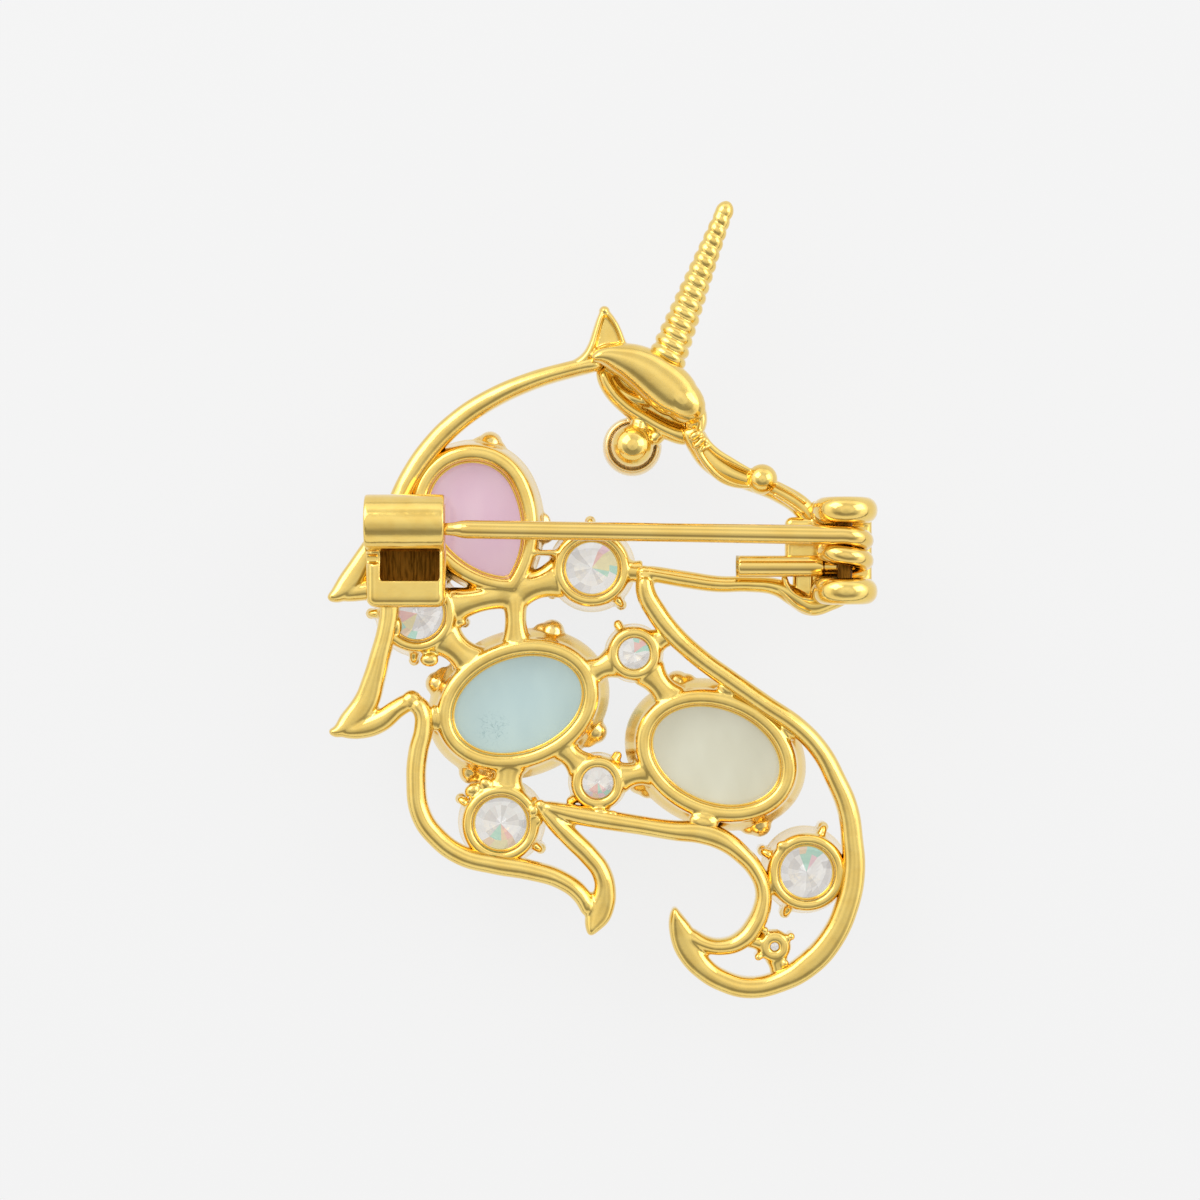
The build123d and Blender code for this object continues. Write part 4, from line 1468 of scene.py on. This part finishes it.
def plated(name, light, deep, roughness, wave, height, lacquer, grain=(1.0, 1.0, 1.0)):
    """Gold plating uneven over wave millimetres by height millimetres, with painted pale light deep down.
    """
    material = finish_of(name, Metallic=1.0, Coat_Weight=lacquer, Coat_Roughness=0.05)
    tree = material.node_tree
    shader = tree.nodes["Principled BSDF"]
    place = add_node(tree, "ShaderNodeTexCoord").outputs["Object"]
    along = add_node(tree, "ShaderNodeMapping", {"Vector": place, "Scale": grain}).outputs["Vector"]
    waves = add_node(
        tree, "ShaderNodeTexNoise", {"Vector": along, "Scale": 1 / (wave * MM), "Detail": 3.0}
    )
    tone = add_node(tree, "ShaderNodeValToRGB", {"Fac": waves.outputs["Fac"]})
    set_stops(tone, ((0.35, colour(deep)), (0.6, colour(light))))
    polish = add_node(
        tree,
        "ShaderNodeMapRange",
        {"Value": waves.outputs["Fac"], "To Min": roughness * 0.75, "To Max": roughness * 1.3},
    )
    uneven = add_node(
        tree,
        "ShaderNodeBump",
        {"Height": waves.outputs["Fac"], "Strength": 1.0, "Distance": height * MM},
    )
    level = add_node(tree, "ShaderNodeSeparateXYZ", {"Vector": place}).outputs["Z"]
    satin_and_painted_light = add_node(
        tree,
        "ShaderNodeMapRange",
        {
            "Value": level,
            "From Min": SATIN_AND_PAINTED_LIGHT_BELOW * MM,
            "From Max": POLISHED_ABOVE * MM,
            "To Min": SATIN_AND_PAINTED_LIGHT_SHARE,
            "To Max": 0.0,
        },
    ).outputs["Result"]
    # Painted light: the tint is turned pale deep down, so that openings there don't go dark
    paler_with_painted_light = add_node(
        tree,
        "ShaderNodeMixRGB",
        {"Fac": satin_and_painted_light, "Color1": tone.outputs["Color"], "Color2": colour(SATIN_AND_PAINTED_LIGHT_TINT)},
    )
    rougher = add_node(
        tree,
        "ShaderNodeMath",
        {0: satin_and_painted_light, 1: SATIN_ROUGHNESS, 2: polish.outputs["Result"]},
        operation="MULTIPLY_ADD",
    )
    tree.links.new(paler_with_painted_light.outputs["Color"], shader.inputs["Base Color"])
    tree.links.new(rougher.outputs["Value"], shader.inputs["Roughness"])
    tree.links.new(uneven.outputs["Normal"], shader.inputs["Normal"])
    return material


# Gold plating on the casting. Its soft waves bend the mirrored tent, so long highlights look hand-made
gold = plated("polished gold plating", "F4D373", "F0CB68", 0.15, 1.1, 0.018, 0.8)

# Gold plating on drawn wire. It is smoother, so the pin is one clean bright line over the busy casting
wire_gold = plated("gold-plated drawn wire", "F2D074", "EFC968", 0.13, 2.5, 0.006, 0.8)

# Dark brown brass as painted shade, for the shadowed hollows of the catch and round the rivet. It is dull
# and grained
painted_shade_brass = plated(
    "dark brass painted as shade in hidden places", "80551A", "4E3008", 0.45, 0.3, 0.05, 0.0, (2.5, 0.3, 1.0)
)
print("gold finishes", gold.name, "/", wire_gold.name, "/", painted_shade_brass.name)

# %% [markdown]
# The pastel stones are milky glass. Half of what one sees is light that falls on them, and half, the light
# from the table that comes through, is painted on as a glow: the base colour is halved, and the whole
# colour glows at about half strength, which keeps them evenly lit in their cups. Faint streaks run through
# the glass as it was pressed, and the aqua stone has a few fine scratches in one place. The clear stones
# are glass that takes the painted reflection tint of each facet.

# %% Glass
HALF = (0.5, 0.5, 0.5, 1)
BLACK = (0, 0, 0, 1)
WHITE = (1, 1, 1, 1)
SCRATCH_TINT = "83A3A6"


def milky(name, body, streak, painted_glow, scratches=None):
    """Milky pressed glass with faint streaks, a painted glow, and fine scratches round a place."""
    material = finish_of(
        name, Roughness=0.1, IOR=1.52, Coat_Weight=0.6, Coat_Roughness=0.03, Emission_Strength=painted_glow
    )
    tree = material.node_tree
    shader = tree.nodes["Principled BSDF"]
    place = add_node(tree, "ShaderNodeTexCoord").outputs["Object"]
    along = add_node(
        tree,
        "ShaderNodeMapping",
        {"Vector": place, "Rotation": (0.0, 0.0, 0.9), "Scale": (1.0, 0.5, 1.0)},
    )
    clouds = add_node(
        tree,
        "ShaderNodeTexNoise",
        {"Vector": along.outputs["Vector"], "Scale": 1 / (2.2 * MM), "Detail": 2.0, "Roughness": 0.4},
    )
    tone = add_node(tree, "ShaderNodeValToRGB", {"Fac": clouds.outputs["Fac"]})
    set_stops(tone, ((0.35, colour(body)), (0.70, colour(streak))))
    glass = tone.outputs["Color"]
    if scratches:
        far = add_node(tree, "ShaderNodeVectorMath", {0: place, 1: scratches * MM}, operation="DISTANCE")
        near = add_node(
            tree,
            "ShaderNodeMapRange",
            {
                "Value": far.outputs["Value"],
                "From Min": 0.5 * MM,
                "From Max": 1.3 * MM,
                "To Min": 0.8,
                "To Max": 0.0,
            },
        )
        grain = add_node(
            tree, "ShaderNodeTexNoise", {"Vector": place, "Scale": 1 / (0.5 * MM), "Distortion": 1.5}
        )
        lines = add_node(tree, "ShaderNodeValToRGB", {"Fac": grain.outputs["Fac"]})
        set_stops(lines, ((0.47, BLACK), (0.5, WHITE), (0.53, BLACK)))
        share = add_node(
            tree,
            "ShaderNodeMath",
            {0: near.outputs["Result"], 1: lines.outputs["Color"]},
            operation="MULTIPLY",
        )
        mixed = add_node(
            tree,
            "ShaderNodeMixRGB",
            {"Fac": share.outputs["Value"], "Color1": glass, "Color2": colour(SCRATCH_TINT)},
        )
        glass = mixed.outputs["Color"]
    deep = add_node(
        tree,
        "ShaderNodeMixRGB",
        {"Fac": 1.0, "Color1": glass, "Color2": HALF},
        blend_type="MULTIPLY",
    )
    tree.links.new(deep.outputs["Color"], shader.inputs["Base Color"])
    tree.links.new(glass, shader.inputs["Emission Color"])
    return material


# Three milky glasses, each kept soft and even by its painted glow: a calm pastel field against the gold
pink = milky("milky pink glass", "DAB6C9", "E0C1D0", 0.55)
aqua = milky("milky aqua glass", "B0C7C7", "B9CFCD", 0.56, scratches=Vector((-6.8, -8.1, 4.3)))
cream = milky("milky cream glass", "CDCBB5", "D5D4C0", 0.55)

# Clear cut glass with painted reflections and colour flashes per facet, so small stones sparkle in wedges
clear = finish_of("clear cut glass with painted facet reflections", Roughness=0.03, IOR=1.55, Transmission_Weight=1.0)
tint = add_node(clear.node_tree, "ShaderNodeVertexColor", layer_name="painted facet reflections")
clear.node_tree.links.new(
    tint.outputs["Color"], clear.node_tree.nodes["Principled BSDF"].inputs["Base Color"]
)
print("glasses", pink.name, "/", aqua.name, "/", cream.name, "/", clear.name)

# %% [markdown]
# Now each piece gets its finish, rides on its body and stands for its imported piece. The pin rides on a
# body of its own, because it turns. The rivet stays as it was imported, in dark brass as painted shade,
# for it sits in the shade of the lugs.

# %% Dress the pieces
# Painted shade: the catch's window floor is dark because its well is in shadow
dress(shade_plate, painted_shade_brass)
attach(shade_plate, "brooch")
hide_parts("unicorn_frame")
for piece in (outline, head, horn, gallery, beads, hinge, catch):
    dress(piece, gold)
    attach(piece, "brooch")
    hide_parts("unicorn_frame")
dress(pin, wire_gold)
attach(pin, "pin")
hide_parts("pin_wire")
for name, material, slot in (
    ("pear_stone", pink, "pink_glass"),
    ("aqua_oval_stone", aqua, "aqua_glass"),
    ("cream_oval_stone", cream, "cream_glass"),
):
    dress(large_stones[name], material)
    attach(large_stones[name], "brooch")
    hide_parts(name)
for name, stone in clear_stones.items():
    dress(stone, clear)
    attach(stone, "brooch")
    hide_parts(name)
# Painted shade: the rivet is dark because it sits in the lugs' shadow
dress(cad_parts["hinge_rivet"], painted_shade_brass)
print("dressed", [piece.name for piece in (outline, head, horn, gallery, beads, hinge, catch, shade_plate, pin)])
print("dressed stones", sorted(large_stones), sorted(clear_stones))

# %% [markdown]
# The brooch is photographed on a sheet of white acrylic that is lit from beneath, which leaves no shadow
# in its openings. So the floor glows, and reflects only a little.

# %% Floor
nothing_selected()
bpy.ops.mesh.primitive_plane_add(size=3)
floor = bpy.context.object
floor.name = "floor"

# White acrylic with light behind it: even and bright, so every opening of the brooch is light too
acrylic = finish_of(
    "white acrylic lit from beneath",
    Base_Color=colour("505050"),
    Roughness=0.9,
    Specular_IOR_Level=0.0,
    Emission_Color=WHITE,
    Emission_Strength=0.81,
)
dress(floor, acrylic)
print("floor", floor.dimensions.x, "m wide")

# %% [markdown]
# The camera stands straight above the brooch's middle and looks down at its back, with a long lens, so
# that upright walls stay hidden behind their rims.

# %% Camera
CAMERA_HEIGHT = 0.2143
bpy.ops.object.camera_add(location=(0, 0, CAMERA_HEIGHT))
camera = bpy.context.object
camera.data.lens = 100
camera.data.clip_start = 0.01
bpy.context.scene.camera = camera
print("camera", CAMERA_HEIGHT, "m above the table, lens", camera.data.lens, "mm")

# %% [markdown]
# Light. A gold piece is photographed in a white tent, and what one sees is the tent, mirrored. Overhead,
# where the camera looks in, it is a soft grey, so flat backs turn a deep gold. Around that it is darker,
# and its walls are bright. A dark gap along the table, darkest on the near side, draws the thin dark lines
# of steep edges. Two patches of the tent are brighter, at the upper left and at the right, where two soft
# boxes shine through it, the stronger one at the left.

# %% Light
world = bpy.data.worlds.new("studio")
bpy.context.scene.world = world
world.use_nodes = True
sky = world.node_tree
heading = add_node(sky, "ShaderNodeTexCoord").outputs["Generated"]
GAP_GREY = (0.1, 0.1, 0.1, 1)


def greys(*stops):
    """The stops of a grey Color Ramp, each a position and a brightness."""
    return [(position, (grey, grey, grey, 1)) for position, grey in stops]


# From the table, 0, over the walls to straight overhead, 1
axes = add_node(sky, "ShaderNodeSeparateXYZ", {"Vector": heading}).outputs
walls = add_node(sky, "ShaderNodeValToRGB", {"Fac": axes["Z"]})
set_stops(
    walls,
    greys(
        (0.00, 0.85),
        (0.13, 1.00),
        (0.50, 0.95),
        (0.68, 0.36),
        (0.84, 0.32),
        (0.95, 0.66),
        (1.00, 0.74),
    ),
)
gap = add_node(sky, "ShaderNodeValToRGB", {"Fac": axes["Z"]})
set_stops(gap, greys((0.0, 0.0), (0.02, 1.0), (0.09, 1.0), (0.14, 0.0)))

# From the far side, 0, to the near side, 1
nearness = add_node(sky, "ShaderNodeMath", {0: axes["Y"], 1: -0.5, 2: 0.5}, operation="MULTIPLY_ADD")
front = add_node(sky, "ShaderNodeValToRGB", {"Fac": nearness.outputs["Value"]})
set_stops(front, greys((0.45, 0.35), (0.70, 0.9)))
shade = add_node(
    sky,
    "ShaderNodeMixRGB",
    {"Fac": 1.0, "Color1": gap.outputs["Color"], "Color2": front.outputs["Color"]},
    blend_type="MULTIPLY",
)
dim = add_node(
    sky,
    "ShaderNodeMixRGB",
    {"Fac": shade.outputs["Color"], "Color1": walls.outputs["Color"], "Color2": GAP_GREY},
)
TENT_LIGHTS = (Vector((-0.6, 0.6, 0.75)), Vector((0.75, 0.35, 0.65)))
tent = dim.outputs["Color"]
for way in TENT_LIGHTS:
    towards = add_node(
        sky, "ShaderNodeVectorMath", {0: heading, 1: way.normalized()}, operation="DOT_PRODUCT"
    )
    glare = add_node(sky, "ShaderNodeValToRGB", {"Fac": towards.outputs["Value"]})
    set_stops(glare, greys((0.0, 0.0), (0.6, 0.0), (0.86, 0.4), (1.0, 0.6)))
    brighter = add_node(
        sky, "ShaderNodeVectorMath", {0: tent, 1: glare.outputs["Color"]}, operation="ADD"
    )
    tent = brighter.outputs["Vector"]
sky.links.new(tent, sky.nodes["Background"].inputs["Color"])


def softbox(place, aim, size, watts):
    """A square area light at a place, in millimetres, that shines at another."""
    bpy.ops.object.light_add(type="AREA", location=place * MM)
    lamp = bpy.context.object
    lamp.data.size = size * MM
    lamp.data.energy = watts
    lamp.rotation_euler = (aim - place).to_track_quat("-Z", "Y").to_euler()
    return lamp


BROOCH = Vector((0, 0, 5))
softbox(Vector((-120, 130, 150)), BROOCH, 150, 0.17)
softbox(Vector((150, 60, 120)), BROOCH, 110, 0.07)
bpy.context.scene.view_settings.view_transform = "Standard"
print("soft boxes 2, bright patches of the tent", len(TENT_LIGHTS))
